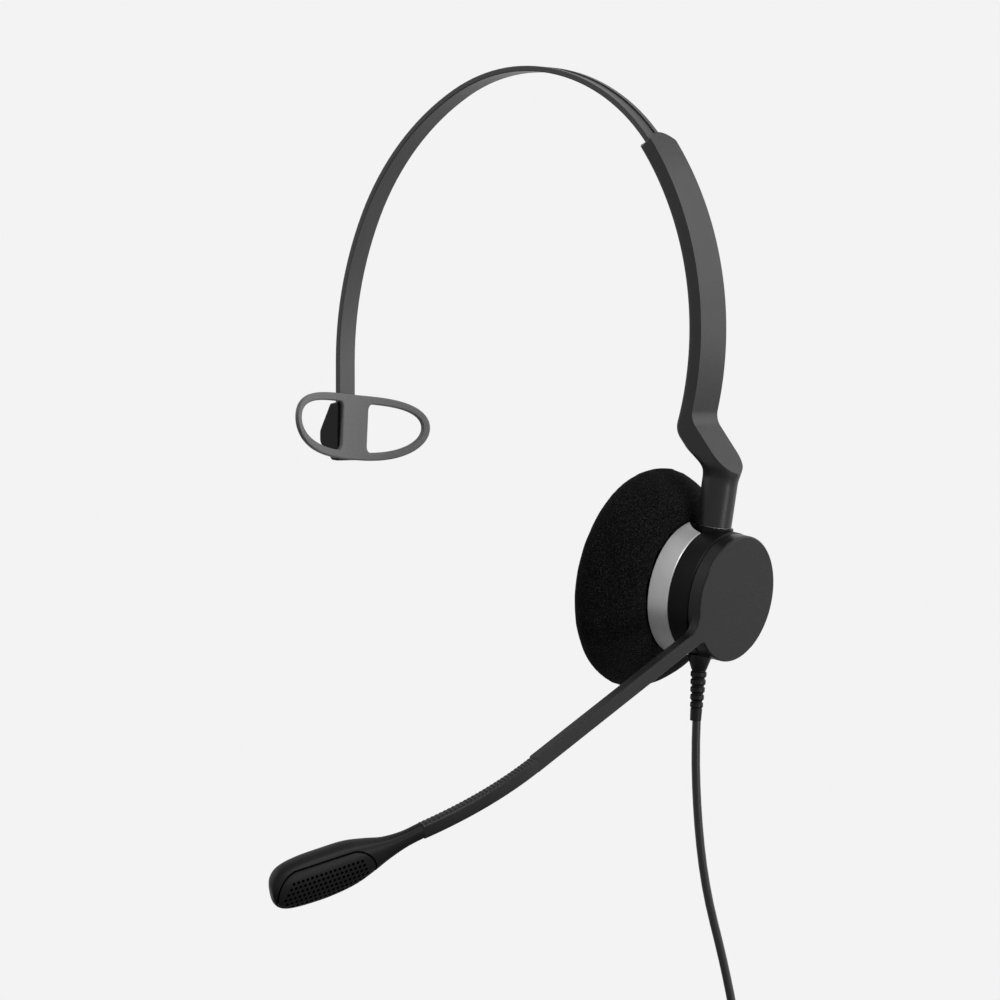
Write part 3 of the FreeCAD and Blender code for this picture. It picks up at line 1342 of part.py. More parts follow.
relief_profile += [
    (rib_top - 0.3, 1.55),
    (-size.relief_length, 1.5),
    (-size.relief_length, cord_bore_radius),
]
up_turn = Placement(Vector(), Rotation(Vector(0, 1, 0), -90))
turned("strain_relief", relief_profile, RELIEF * up_turn)


def cord_tube(points, radius):
    """A round tube along straight runs joined by tangent arcs; also prints the arcs' radii."""
    edges = []
    start = points[0]
    for before, corner, after in zip(points, points[1:], points[2:]):
        leg_in = (corner - before).Length
        leg_out = (after - corner).Length
        way_in = (corner - before).normalize()
        way_out = (after - corner).normalize()
        turn = way_in.getAngle(way_out)
        trim = 0.45 * min(leg_in, leg_out)
        bend_radius = trim / math.tan(turn / 2)
        print("cord bend: turn %.1f degrees, radius %.1f mm" % (math.degrees(turn), bend_radius))
        touch_in = corner - way_in * trim
        touch_out = corner + way_out * trim
        bisector = (way_out - way_in).normalize()
        middle = corner + bisector * (bend_radius / math.cos(turn / 2) - bend_radius)
        edges.append(line(start, touch_in))
        edges.append(Part.Arc(touch_in, middle, touch_out).toShape())
        start = touch_out
    edges.append(line(start, points[-1]))
    path = Part.Wire(edges)
    ring = Part.Wire(Part.makeCircle(radius, points[0], (points[1] - points[0]).normalize()))
    tube = path.makePipeShell([ring], True, True)
    length = path.Length
    ratio = tube.Volume / (math.pi * radius ** 2 * length)
    print("cord tube: length %.1f mm, volume ratio %.4f" % (length, ratio))
    return tube


# the route leaves the relief straight down and swings gently outwards
CORD_POINTS = [
    relief_root + RELIEF.Rotation.multVec(Vector(0, 0, CORD_START_RISE)),
    relief_root - RELIEF.Rotation.multVec(Vector(0, 0, 18.6)),
    Vector(58.1, -3.0, -197.5),
    Vector(60.3, -2.2, -219.0),
    Vector(65.3, -0.6, -238.5),
    Vector(68.4, 1.0, -256.2),
]
COIL_CENTRE = Vector(60.9, 1.2, -272.5)
TAIL_TOP = COIL_CENTRE + Vector(size.coil_radius, 0, -11.2)
PLUG_TOP = COIL_CENTRE + Vector(size.coil_radius, 0, -25.0)
computed("cord_tube", cord_tube(CORD_POINTS, size.cord_radius))

coil = doc.addObject("Part::Torus", "cord_coil")
coil.setExpression("Radius1", "Sizes.coil_radius")
coil.setExpression("Radius2", "Sizes.coil_bundle_radius")
keep(coil, "cord_coil", Placement(COIL_CENTRE, Rotation(Vector(1, 0, 0), 90)))


def band_of_coil(name, radius, sweep):
    item = doc.addObject("Part::Torus", name)
    item.setExpression("Radius1", "Sizes.coil_radius")
    item.setExpression("Radius2", formula_of(radius))
    item.Angle3 = sweep
    return item


tie = cut_away("coil_tie", band_of_coil("coil_tie_outside", size.coil_bundle_radius + 0.7, 26),
               band_of_coil("coil_tie_inside", size.coil_bundle_radius + 0.05, 360))
keep(tie, "coil_tie", Placement(COIL_CENTRE, Rotation(Vector(1, 0, 0), 90) * Rotation(Vector(0, 0, 1), 85)))
tail = cylinder("cord_tail", size.cord_radius, Size((TAIL_TOP - PLUG_TOP).Length), PLUG_TOP, UP_AXIS)
keep(tail, "cord_tail")

# quick-disconnect plug; its own frame has the cord entry at the top and the contacts below
PLUG = Placement(PLUG_TOP, Rotation())
turned("plug_boot", [
    (0.0, cord_bore_radius),
    (0.0, 1.7),
    (-9.0, 2.6),
    (-9.0, cord_bore_radius),
], PLUG * up_turn * Placement(Vector(5.0, 0, 0), Rotation()))


PLUG_WIDTH = 11.6
PLUG_DEPTH = 7.6
PLUG_LOW = -30.0
PLUG_HIGH = -4.0
NOSE_LOW = PLUG_LOW - 7.0
NOSE_WIDTH = 9.0
NOSE_DEPTH = 5.2
NOSE_WALL = 0.8
BLADE_PITCH = 1.6
LATCH_LOW = -24.0


def upright_box(width, depth, low, high):
    """A box centred on the plug's axis."""
    return Part.makeBox(width, depth, high - low, Vector(-width / 2, -depth / 2, low))


def make_plug_shell():
    shell = upright_box(PLUG_WIDTH, PLUG_DEPTH, PLUG_LOW, PLUG_HIGH)
    shell = shell.makeFillet(1.6, [edge for edge in shell.Edges
                                   if abs(edge.Vertexes[0].Z - edge.Vertexes[-1].Z) > 20])
    nose = upright_box(NOSE_WIDTH, NOSE_DEPTH, NOSE_LOW, PLUG_LOW)
    socket = upright_box(NOSE_WIDTH - 2 * NOSE_WALL, NOSE_DEPTH - 2 * NOSE_WALL, NOSE_LOW, NOSE_LOW + 5.0)
    return shell.fuse(nose).cut(socket)


def make_plug_contacts():
    blades = []
    for place in (-1.5, -0.5, 0.5, 1.5):
        blade = upright_box(0.6, 1.6, NOSE_LOW + 0.6, NOSE_LOW + 4.6)
        blade.translate(Vector(place * BLADE_PITCH, 0, 0))
        blades.append(blade)
    return Part.makeCompound(blades)


def make_plug_latch():
    button = Part.makeBox(5.0, 1.2, 9.0, Vector(-2.5, PLUG_DEPTH / 2 + size.fixed_gap, LATCH_LOW))
    grips = []
    for step in range(5):
        low = LATCH_LOW + 1.0 + step * 1.6
        grips.append(Part.makeBox(4.2, 0.5, 0.7, Vector(-2.1, PLUG_DEPTH / 2 + 1.2, low)))
    return button.fuse(grips)


computed("plug_shell", make_plug_shell(), PLUG)
computed("plug_contacts", make_plug_contacts(), PLUG)
computed("plug_latch", make_plug_latch(), PLUG)


# ---------------------------------------------------------------- checks and export

doc.recompute()
for item in doc.Objects:
    if "Invalid" in item.State or "Error" in item.State:
        raise RuntimeError("%s failed: %s" % (item.Name, item.State))
for piece in pieces:
    if piece.Shape.isNull() or not piece.Shape.isValid():
        raise RuntimeError("%s has no valid shape" % piece.Label)
os.makedirs("parts", exist_ok=True)
for piece in pieces:
    piece.Shape.exportStep("parts/%s.step" % piece.Label)
    print("%s: %d solids, %.1f mm3" % (piece.Label, len(piece.Shape.Solids), piece.Shape.Volume))
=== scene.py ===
import json
import math

import bmesh
import bpy
from mathutils import Matrix, Vector


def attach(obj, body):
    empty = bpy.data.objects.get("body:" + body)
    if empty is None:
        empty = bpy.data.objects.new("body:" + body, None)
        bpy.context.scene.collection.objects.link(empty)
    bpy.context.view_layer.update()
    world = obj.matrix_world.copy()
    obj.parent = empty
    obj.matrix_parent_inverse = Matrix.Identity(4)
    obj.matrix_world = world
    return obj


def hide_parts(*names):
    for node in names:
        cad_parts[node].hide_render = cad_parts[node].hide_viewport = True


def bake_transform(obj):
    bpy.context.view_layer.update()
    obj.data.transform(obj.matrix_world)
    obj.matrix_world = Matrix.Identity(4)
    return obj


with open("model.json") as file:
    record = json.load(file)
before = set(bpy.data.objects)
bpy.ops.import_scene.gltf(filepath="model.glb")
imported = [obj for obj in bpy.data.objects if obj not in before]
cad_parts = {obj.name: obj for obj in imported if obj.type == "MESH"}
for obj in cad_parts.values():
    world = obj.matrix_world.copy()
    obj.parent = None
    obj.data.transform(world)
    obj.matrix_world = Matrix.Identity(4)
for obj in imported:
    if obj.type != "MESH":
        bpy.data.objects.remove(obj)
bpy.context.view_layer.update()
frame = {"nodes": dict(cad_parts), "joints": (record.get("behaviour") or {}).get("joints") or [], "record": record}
CAD = frame["nodes"]
JOINTS = {joint["name"]: joint for joint in frame["joints"]}
MM = 0.001


# ---------------------------------------------------------------- camera

CAMERA_AIM = Vector((-0.0030, -0.0085, -0.1167))
CAMERA_AZIMUTH = math.radians(-53.195)
CAMERA_ELEVATION = math.radians(1.146)
CAMERA_DISTANCE = 1.3382
CAMERA_LENS = 176.93
SENSOR_WIDTH = 36.0
VIEW_END = 20.0


def from_angles(azimuth, elevation):
    """The direction at an azimuth from +X and an elevation, both in radians."""
    level = Vector((math.cos(azimuth), math.sin(azimuth), 0))
    return level * math.cos(elevation) + Vector((0, 0, math.sin(elevation)))


def make_camera():
    data = bpy.data.cameras.new("camera")
    data.lens = CAMERA_LENS
    data.sensor_width = SENSOR_WIDTH
    data.clip_end = VIEW_END
    camera = bpy.data.objects.new("camera", data)
    bpy.context.scene.collection.objects.link(camera)
    back = from_angles(CAMERA_AZIMUTH, CAMERA_ELEVATION)
    camera.location = CAMERA_AIM + back * CAMERA_DISTANCE
    camera.rotation_mode = "QUATERNION"
    camera.rotation_quaternion = back.to_track_quat("Z", "Y")
    bpy.context.scene.camera = camera


make_camera()


# ---------------------------------------------------------------- cord

CORD_RADIUS = 0.00115
# the same route as the CAD cord, in metres
CORD_POINTS = [
    (0.059555, -0.0032, -0.154585),
    (0.057891, -0.0032, -0.17572),
    (0.0581, -0.0030, -0.1975),
    (0.0603, -0.0022, -0.2190),
    (0.0653, -0.0006, -0.2385),
    (0.0684, 0.0010, -0.2562),
]
COIL_CENTRE = Vector((0.0609, 0.0012, -0.2725))
COIL_RADIUS = 0.013
COIL_TURN_POINTS = 16
COIL_ENTRY = math.radians(50)
# each turn's place in the bundle, in cord diameters: out from the coil's middle, and across it
COIL_PLACES = [
    (-0.866, 1.0), (-0.866, 0.0), (-0.866, -1.0),
    (0.0, -1.5), (0.0, -0.5), (0.0, 0.5), (0.0, 1.5),
    (0.866, 1.0), (0.866, 0.0), (0.866, -1.0),
]
# the share of a turn in which the cord steps over to its next place
STEP_SHARE = 0.25
# from the coil's side the tail goes down in the coil's plane, leaning in, and then to the plug
TAIL_START = 0.0750
TAIL_DROP = 0.006
TAIL_LEAN = 0.12
PLUG_APPROACH = Vector((0.0739, 0.0012, -0.2865))
PLUG_ENTRY = Vector((0.0739, 0.0012, -0.2975))
# a curve's box reaches one point radius past its line, so the points are thin and the bevel makes up for it
POINT_RADIUS = 0.001


def coil_point(angle, turn):
    """A point of the coil; the cord steps over to its next place while it passes the top."""
    whole = min(int(turn), len(COIL_PLACES) - 1)
    step = min(1.0, (turn - whole) / STEP_SHARE)
    here, there = COIL_PLACES[max(whole - 1, 0)], COIL_PLACES[whole]
    out = here[0] + (there[0] - here[0]) * step
    across = here[1] + (there[1] - here[1]) * step
    reach = COIL_RADIUS + out * 2 * CORD_RADIUS
    return COIL_CENTRE + Vector((reach * math.cos(angle), across * 2 * CORD_RADIUS,
                                 reach * math.sin(angle)))


def cord_route():
    """The points that steer the cord, from inside the strain relief to the plug."""
    points = [Vector(point) for point in CORD_POINTS]
    total_turn = 2 * math.pi * len(COIL_PLACES) + COIL_ENTRY
    count = int(total_turn / (2 * math.pi) * COIL_TURN_POINTS)
    for index in range(count):
        swept = total_turn * index / count
        points.append(coil_point(COIL_ENTRY - swept, swept / (2 * math.pi)))
    side = points[-1].y
    for drop in (0.0, TAIL_DROP):
        points.append(Vector((TAIL_START - drop * TAIL_LEAN, side, COIL_CENTRE.z - drop)))
    return points + [PLUG_APPROACH, PLUG_ENTRY]


def make_cord():
    data = bpy.data.curves.new("cord", "CURVE")
    data.dimensions = "3D"
    data.bevel_depth = CORD_RADIUS / POINT_RADIUS
    data.bevel_resolution = 4
    data.resolution_u = 4
    data.use_fill_caps = True
    route = cord_route()
    spline = data.splines.new("NURBS")
    spline.points.add(len(route) - 1)
    for point, place in zip(spline.points, route):
        point.co = (*place, 1.0)
        point.radius = POINT_RADIUS
    spline.order_u = 3
    spline.use_endpoint_u = True
    cord = bpy.data.objects.new("cord", data)
    bpy.context.scene.collection.objects.link(cord)
    return cord


cord = make_cord()
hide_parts("cord_tube", "cord_coil", "cord_tail")
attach(cord, "speaker_housing")


# ---------------------------------------------------------------- shader helpers and shared groups

def new_group(name, inputs, outputs):
    """An empty node group; gives it with its input and output nodes."""
    group = bpy.data.node_groups.new(name, "ShaderNodeTree")
    for label, kind, value in inputs:
        socket = group.interface.new_socket(name=label, in_out="INPUT", socket_type="NodeSocket" + kind)
        socket.default_value = value
    for label, kind in outputs:
        group.interface.new_socket(name=label, in_out="OUTPUT", socket_type="NodeSocket" + kind)
    return group, group.nodes.new("NodeGroupInput"), group.nodes.new("NodeGroupOutput")


def linked(tree, kind, **settings):
    """A new node with its properties set; the keys that name inputs are set on those."""
    node = tree.nodes.new(kind)
    for key, value in settings.items():
        if hasattr(node, key):
            setattr(node, key, value)
        else:
            node.inputs[key.replace("_", " ")].default_value = value
    return node


def texture(tree, kind, **settings):
    """A texture node that follows the object's own coordinates."""
    node = linked(tree, kind, **settings)
    place = tree.nodes.new("ShaderNodeTexCoord")
    tree.links.new(place.outputs["Object"], node.inputs["Vector"])
    return node


def maths(tree, operation, *values, clamp=False):
    """The result of a sum on values that are numbers or the outputs of other nodes."""
    node = linked(tree, "ShaderNodeMath", operation=operation, use_clamp=clamp)
    for socket, value in zip(node.inputs, values):
        if isinstance(value, bpy.types.NodeSocket):
            tree.links.new(value, socket)
        else:
            socket.default_value = value
    return node.outputs[0]


def ranged(tree, value, start, end, low, high):
    """The value, moved from the range start to end into the range low to high."""
    node = linked(tree, "ShaderNodeMapRange", From_Min=start, From_Max=end, To_Min=low, To_Max=high)
    tree.links.new(value, node.inputs["Value"])
    return node.outputs["Result"]


def bumped(tree, height, distance, strength=1.0):
    """The normal of a surface with bumps of that height."""
    node = linked(tree, "ShaderNodeBump", Distance=distance, Strength=strength)
    tree.links.new(height, node.inputs["Height"])
    return node


def make_grain_group():
    """Fine moulded grain: slight changes of colour and gloss, and tiny bumps."""
    group, given, result = new_group("moulded_grain", [
        ("Colour", "Color", (0.1, 0.1, 0.1, 1)),
        ("Roughness", "Float", 0.5),
        ("Grain Size", "Float", 3000.0),
        ("Grain Depth", "Float", 0.1),
        ("Speckle", "Float", 0.15),
    ], [("Colour", "Color"), ("Roughness", "Float"), ("Normal", "Vector")])
    join = group.links.new
    fine = texture(group, "ShaderNodeTexNoise", Detail=2.0)
    broad = texture(group, "ShaderNodeTexNoise", Scale=90.0, Detail=3.0)
    join(given.outputs["Grain Size"], fine.inputs["Scale"])
    # brightness: 1 plus the speckle's share of the fine noise, with a little of the broad one
    centred = maths(group, "SUBTRACT", fine.outputs["Fac"], 0.5)
    speckled = maths(group, "MULTIPLY_ADD", centred, given.outputs["Speckle"], 1.0)
    cloudy = ranged(group, broad.outputs["Fac"], 0.3, 0.7, 0.94, 1.06)
    tint = linked(group, "ShaderNodeVectorMath", operation="SCALE")
    join(given.outputs["Colour"], tint.inputs[0])
    join(maths(group, "MULTIPLY", speckled, cloudy), tint.inputs["Scale"])
    join(tint.outputs[0], result.inputs["Colour"])
    join(maths(group, "MULTIPLY", given.outputs["Roughness"], cloudy), result.inputs["Roughness"])
    bump = bumped(group, fine.outputs["Fac"], 0.00008)
    join(given.outputs["Grain Depth"], bump.inputs["Strength"])
    join(bump.outputs["Normal"], result.inputs["Normal"])
    return group


def make_foam_group():
    """Open-cell foam: pores painted dark as the shade in the holes, in a web that catches the light."""
    group, given, result = new_group("foam_cells", [
        ("Cell Scale", "Float", 1400.0),
        # the pores' colour is painted shade: the dark of the holes between the strands
        ("Painted Pore Shade", "Color", (0.0015, 0.0015, 0.002, 1)),
        ("Web Colour", "Color", (0.07, 0.07, 0.066, 1)),
    ], [("Colour", "Color"), ("Normal", "Vector")])
    join = group.links.new
    cells = texture(group, "ShaderNodeTexVoronoi", feature="F1")
    tufts = texture(group, "ShaderNodeTexNoise", Scale=3000.0, Detail=3.0, Roughness=0.7)
    patches = texture(group, "ShaderNodeTexNoise", Scale=160.0, Detail=2.0)
    join(given.outputs["Cell Scale"], cells.inputs["Scale"])
    web = ranged(group, cells.outputs["Distance"], 0.15, 0.75, 0.0, 1.0)
    fibre = ranged(group, tufts.outputs["Fac"], 0.49, 0.74, 0.0, 1.0)
    both = maths(group, "MULTIPLY", web, fibre)
    spread = ranged(group, patches.outputs["Fac"], 0.0, 1.0, 0.5, 2.2)
    colour = linked(group, "ShaderNodeMix", data_type="RGBA")
    join(maths(group, "MULTIPLY", both, spread), colour.inputs["Factor"])
    join(given.outputs["Painted Pore Shade"], colour.inputs["A"])
    join(given.outputs["Web Colour"], colour.inputs["B"])
    join(colour.outputs["Result"], result.inputs["Colour"])
    join(bumped(group, both, 0.0005, 0.9).outputs["Normal"], result.inputs["Normal"])
    return group


def make_brushed_group():
    """Fine turning marks for metal parts."""
    group, given, result = new_group("turning_marks", [
        ("Roughness", "Float", 0.3),
        ("Stretch", "Vector", (200.0, 200.0, 6000.0)),
    ], [("Roughness", "Float"), ("Normal", "Vector")])
    join = group.links.new
    place = group.nodes.new("ShaderNodeTexCoord")
    stretched = linked(group, "ShaderNodeVectorMath", operation="MULTIPLY")
    join(place.outputs["Object"], stretched.inputs[0])
    join(given.outputs["Stretch"], stretched.inputs[1])
    marks = linked(group, "ShaderNodeTexNoise", Scale=1.0, Detail=2.0)
    join(stretched.outputs[0], marks.inputs["Vector"])
    shift = ranged(group, marks.outputs["Fac"], 0.0, 1.0, 0.75, 1.25)
    join(maths(group, "MULTIPLY", given.outputs["Roughness"], shift), result.inputs["Roughness"])
    join(bumped(group, marks.outputs["Fac"], 0.00005, 0.15).outputs["Normal"], result.inputs["Normal"])
    return group


GRAIN = make_grain_group()
FOAM_CELLS = make_foam_group()
TURNING_MARKS = make_brushed_group()


# ---------------------------------------------------------------- materials

def new_material(name):
    material = bpy.data.materials.new(name)
    material.use_nodes = True
    return material, material.node_tree, material.node_tree.nodes["Principled BSDF"]


def placed_group(tree, group, **values):
    node = tree.nodes.new("ShaderNodeGroup")
    node.node_tree = group
    for name, value in values.items():
        node.inputs[name.replace("_", " ")].default_value = value
    return node


def grained(name, colour, roughness, size=3000.0, depth=0.12, speckle=0.2,
            specular=0.5, coat=0.0, metallic=0.0):
    """A moulded or painted finish with fine grain."""
    material, tree, shader = new_material(name)
    grain = placed_group(tree, GRAIN, Colour=(*colour, 1), Roughness=roughness,
                         Grain_Size=size, Grain_Depth=depth, Speckle=speckle)
    tree.links.new(grain.outputs["Colour"], shader.inputs["Base Color"])
    tree.links.new(grain.outputs["Roughness"], shader.inputs["Roughness"])
    tree.links.new(grain.outputs["Normal"], shader.inputs["Normal"])
    shader.inputs["Specular IOR Level"].default_value = specular
    shader.inputs["Coat Weight"].default_value = coat
    shader.inputs["Metallic"].default_value = metallic
    return material


def turned_metal(name, colour, roughness):
    """Bare metal with turning marks."""
    material, tree, shader = new_material(name)
    marks = placed_group(tree, TURNING_MARKS, Roughness=roughness)
    tree.links.new(marks.outputs["Roughness"], shader.inputs["Roughness"])
    tree.links.new(marks.outputs["Normal"], shader.inputs["Normal"])
    shader.inputs["Base Color"].default_value = (*colour, 1)
    shader.inputs["Metallic"].default_value = 1.0
    return material


def foam_material(name, cell_scale):
    """Dull black foam."""
    material, tree, shader = new_material(name)
    cells = placed_group(tree, FOAM_CELLS, Cell_Scale=cell_scale)
    tree.links.new(cells.outputs["Colour"], shader.inputs["Base Color"])
    tree.links.new(cells.outputs["Normal"], shader.inputs["Normal"])
    shader.inputs["Roughness"].default_value = 0.95
    shader.inputs["Specular IOR Level"].default_value = 0.05
    shader.inputs["Sheen Weight"].default_value = 0.03
    return material


def near_black(level):
    """A dark neutral with a trace of blue."""
    return (level, level, level + 0.0005)


GRAINED = {
    # band_plastic: partly the band's own dark grey, partly painted light, kept lighter than the arm's plastic for
    # the faces turned to the lamps
    "band_plastic": dict(colour=near_black(0.034), roughness=0.38, depth=0.4, speckle=0.5, specular=0.38),
    "arm_plastic": dict(colour=near_black(0.015), roughness=0.38, depth=0.5, speckle=0.7, specular=0.25),
    # hub_plastic: dark plastic like the arm's, painted darker than it as shade, holding back the key lamp's light
    # on the hub
    "hub_plastic": dict(colour=near_black(0.006), roughness=0.34, depth=0.5, speckle=0.8, specular=0.2),
    # drum_plastic: the housing's black plastic, painted darker still as the shade the drum sits in
    "drum_plastic": dict(colour=near_black(0.004), roughness=0.4, depth=0.05, speckle=0.15, specular=0.08),
    "boom_rubber": dict(colour=near_black(0.011), roughness=0.36, speckle=0.3, specular=0.2),
    "mic_plastic": dict(colour=near_black(0.007), roughness=0.42, speckle=0.25, specular=0.13),
    # rest_plastic: partly the plate's own lighter tone, partly painted light, much lighter than the arm's plastic
    # for the T-bar's faces turned to the lamps
    "rest_plastic": dict(colour=(0.12, 0.12, 0.12), roughness=0.42, depth=0.5, speckle=0.6, specular=0.38),
    "cover_plastic": dict(colour=near_black(0.006), roughness=0.45, speckle=0.2, specular=0.15),
    "trim_metal": dict(colour=(0.55, 0.55, 0.55), roughness=0.36, speckle=0.12, depth=0.08, metallic=0.35),
    "felt": dict(colour=(0.03, 0.03, 0.03), roughness=0.95, size=1500.0, depth=0.9, speckle=0.9,
                 specular=0.1),
    "relief_rubber": dict(colour=near_black(0.004), roughness=0.42, speckle=0.2, specular=0.15),
    "cord_rubber": dict(colour=near_black(0.009), roughness=0.38, speckle=0.1, depth=0.05, specular=0.3),
    "board": dict(colour=(0.02, 0.12, 0.045), roughness=0.3, size=1200.0, depth=0.05, coat=0.3),
    "film": dict(colour=(0.42, 0.38, 0.3), roughness=0.25, size=800.0, depth=0.05),
    "washer_plastic": dict(colour=(0.7, 0.7, 0.67), roughness=0.4, speckle=0.08),
    "plug_plastic": dict(colour=near_black(0.015), roughness=0.48, speckle=0.25, depth=0.15, specular=0.25),
}
METALS = {
    "steel": dict(colour=(0.6, 0.6, 0.6), roughness=0.28),
    "dark_steel": dict(colour=(0.32, 0.32, 0.33), roughness=0.35),
    "magnet_metal": dict(colour=(0.5, 0.5, 0.52), roughness=0.22),
    "brass": dict(colour=(0.8, 0.58, 0.25), roughness=0.25),
}
FINISHES = {name: grained(name, **look) for name, look in GRAINED.items()}
FINISHES.update({name: turned_metal(name, **look) for name, look in METALS.items()})
FINISHES["foam"] = foam_material("foam", 2600.0)


def dress(piece, finish):
    piece.data.materials.clear()
    piece.data.materials.append(FINISHES[finish])


for subpart in frame["record"]["subparts"]:
    dress(CAD[subpart["node"]], subpart["material_slot"])
dress(cord, "cord_rubber")


# ---------------------------------------------------------------- modelling helpers, in millimetres

def finished(name, mesh, body, finish, stands_for=(), matrix=Matrix.Identity(4), smooth_angle=35.0):
    """Makes the object of a millimetre bmesh, puts it in place, and lets it ride on a body, if given."""
    mesh.transform(Matrix.Scale(MM, 4) @ matrix)
    data = bpy.data.meshes.new(name)
    mesh.to_mesh(data)
    mesh.free()
    piece = bpy.data.objects.new(name, data)
    bpy.context.scene.collection.objects.link(piece)
    data.shade_smooth()
    data.set_sharp_from_angle(angle=math.radians(smooth_angle))
    dress(piece, finish)
    if stands_for:
        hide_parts(*stands_for)
    if body:
        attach(piece, body)
    return piece


def baked(piece):
    """Applies the piece's modifiers, so that its mesh is final."""
    bpy.context.view_layer.update()
    seen = piece.evaluated_get(bpy.context.evaluated_depsgraph_get())
    done = bpy.data.meshes.new_from_object(seen)
    piece.modifiers.clear()
    piece.data = done
    return piece


def softened(piece, width, segments=3, angle=30.0):
    """Rounds the piece's hard edges; width in millimetres."""
    bevel = piece.modifiers.new("soft_edges", "BEVEL")
    bevel.width = width * MM
    bevel.segments = segments
    bevel.limit_method = "ANGLE"
    bevel.angle_limit = math.radians(angle)
    bevel.harden_normals = True
    return baked(piece)


def skin(across, along, place):
    """A closed tube of faces: place(turn, way) gives its points, both from 0 to 1."""
    mesh = bmesh.new()
    bmesh.ops.create_grid(mesh, x_segments=across, y_segments=along, size=0.5)
    for vert in mesh.verts:
        vert.co = place(vert.co.x + 0.5, vert.co.y + 0.5)
    bmesh.ops.remove_doubles(mesh, verts=mesh.verts, dist=1e-4)
    rims = [edge for edge in mesh.edges if edge.is_boundary]
    bmesh.ops.holes_fill(mesh, edges=rims)
    bmesh.ops.recalc_face_normals(mesh, faces=mesh.faces)
    return mesh


def turned(corners, steps=128):
    """A solid of revolution about X, from a closed outline of (x, radius) corners."""
    mesh = bmesh.new()
    verts = [mesh.verts.new((x, radius, 0)) for x, radius in corners]
    outline = mesh.faces.new(verts)
    edges = list(outline.edges)
    mesh.faces.remove(outline)
    bmesh.ops.spin(mesh, geom=verts + edges, cent=(0, 0, 0), axis=(1, 0, 0), angle=2 * math.pi,
                   steps=steps, use_merge=True)
    bmesh.ops.remove_doubles(mesh, verts=mesh.verts, dist=1e-4)
    bmesh.ops.recalc_face_normals(mesh, faces=mesh.faces)
    return mesh


def joint_place(name):
    """A joint's point in millimetres."""
    return Vector(JOINTS[name]["pos_m"]) / MM


def axes(right, ahead, up, centre):
    """The placement whose own X, Y and Z point along the three given directions."""
    return Matrix.Translation(centre) @ Matrix((right, ahead, up)).transposed().to_4x4()


OUTWARD = -Vector(JOINTS["boom_turn"]["axis"])
UPWARD = Vector(JOINTS["ear_swivel"]["axis"])
REARWARD = UPWARD.cross(OUTWARD)
CUP = axes(OUTWARD, REARWARD, UPWARD, joint_place("boom_turn"))


def polar(centre, radius, degrees):
    angle = math.radians(degrees)
    return centre + Vector((radius * math.cos(angle), 0, radius * math.sin(angle)))


def blended(start, end, share):
    """From start to end, easing in and out."""
    share = min(max(share, 0.0), 1.0)
    return start + (end - start) * share * share * (3 - 2 * share)


# ---------------------------------------------------------------- arm

ARM_CENTRE = joint_place("band_adjust")
STEM_FOOT = joint_place("ear_swivel")
ARM_OUTER = 86.8
ARM_INNER = 82.45
ARM_HALF_WIDTH = 5.95
MOUTH_ANGLE = 37.4
KNEE_ANGLE = -16.0
KNEE_INNER_ANGLE = -19.2
KNEE_FILLET = 2.6
SLOPE = Vector((math.cos(math.radians(52.5)), 0, -math.sin(math.radians(52.5))))
MOUTH_ARCH_RADIUS = 8.4
STEM_RADIUS = 4.8
STEM_LENGTH = 15.8
TONGUE_TOP = 4.0
SLOPE_RUN = 1.0915
TONGUE_REACH = 4.37
TONGUE_HALF_DEPTH = 5.3
BACK_SQUARENESS = 0.2
BACK_REACH = 5.06
BACK_BLEND = 0.9
# how far under the stem's top the round stem starts to change, and over what height it does so
WIDTH_START, WIDTH_RUN = 3.2, 4.5
REACH_START, REACH_RUN = 4.5, 4.0
BACK_START, BACK_RUN = 8.0, 6.0
SQUARE_START = 1.5
# the share of the arc over which the arched mouth fades out
MOUTH_FADE = 0.125
ARM_ROWS = 240
STEM_TOP = STEM_FOOT + UPWARD * STEM_LENGTH
FACE_COLUMNS = 8
FLANK_COLUMNS = 6
BACK_COLUMNS = 30
ARM_COLUMNS = FACE_COLUMNS + 2 * FLANK_COLUMNS + BACK_COLUMNS


def knee_profile(radius, knee_angle, way):
    """One face of the arm, by way: 0 to 1 is the arc, 1 to 2 the knee, 2 to 3 the slope."""
    knee = polar(ARM_CENTRE, radius, knee_angle)
    arc_end = knee_angle + math.degrees(KNEE_FILLET / radius)
    if way <= 1:
        return polar(ARM_CENTRE, radius, MOUTH_ANGLE + (arc_end - MOUTH_ANGLE) * way)
    first = polar(ARM_CENTRE, radius, arc_end)
    last = knee + SLOPE * KNEE_FILLET
    if way <= 2:
        share = way - 1
        return first * (1 - share) ** 2 + knee * 2 * share * (1 - share) + last * share ** 2
    drop = (last - STEM_TOP).dot(UPWARD) - TONGUE_TOP
    return last + SLOPE * (drop / -SLOPE.dot(UPWARD)) * (way - 2)


def arm_section(column, face, flank, back):
    """Splits the section's columns between its outer face, its two flanks and its back."""
    if column <= FACE_COLUMNS:
        return face(2 * column / FACE_COLUMNS - 1)
    column -= FACE_COLUMNS
    if column <= FLANK_COLUMNS:
        return flank(column / FLANK_COLUMNS, 1)
    column -= FLANK_COLUMNS
    if column <= BACK_COLUMNS:
        return back(math.pi * (0.5 + column / BACK_COLUMNS))
    column -= BACK_COLUMNS
    return flank(1 - column / FLANK_COLUMNS, -1)


def rounded_back(turn, squareness):
    """Depth and width shares of a rounded half section; squareness 1 is a half ellipse."""
    deep = abs(math.cos(turn)) ** squareness
    wide = math.copysign(abs(math.sin(turn)) ** squareness, math.sin(turn))
    return deep, wide


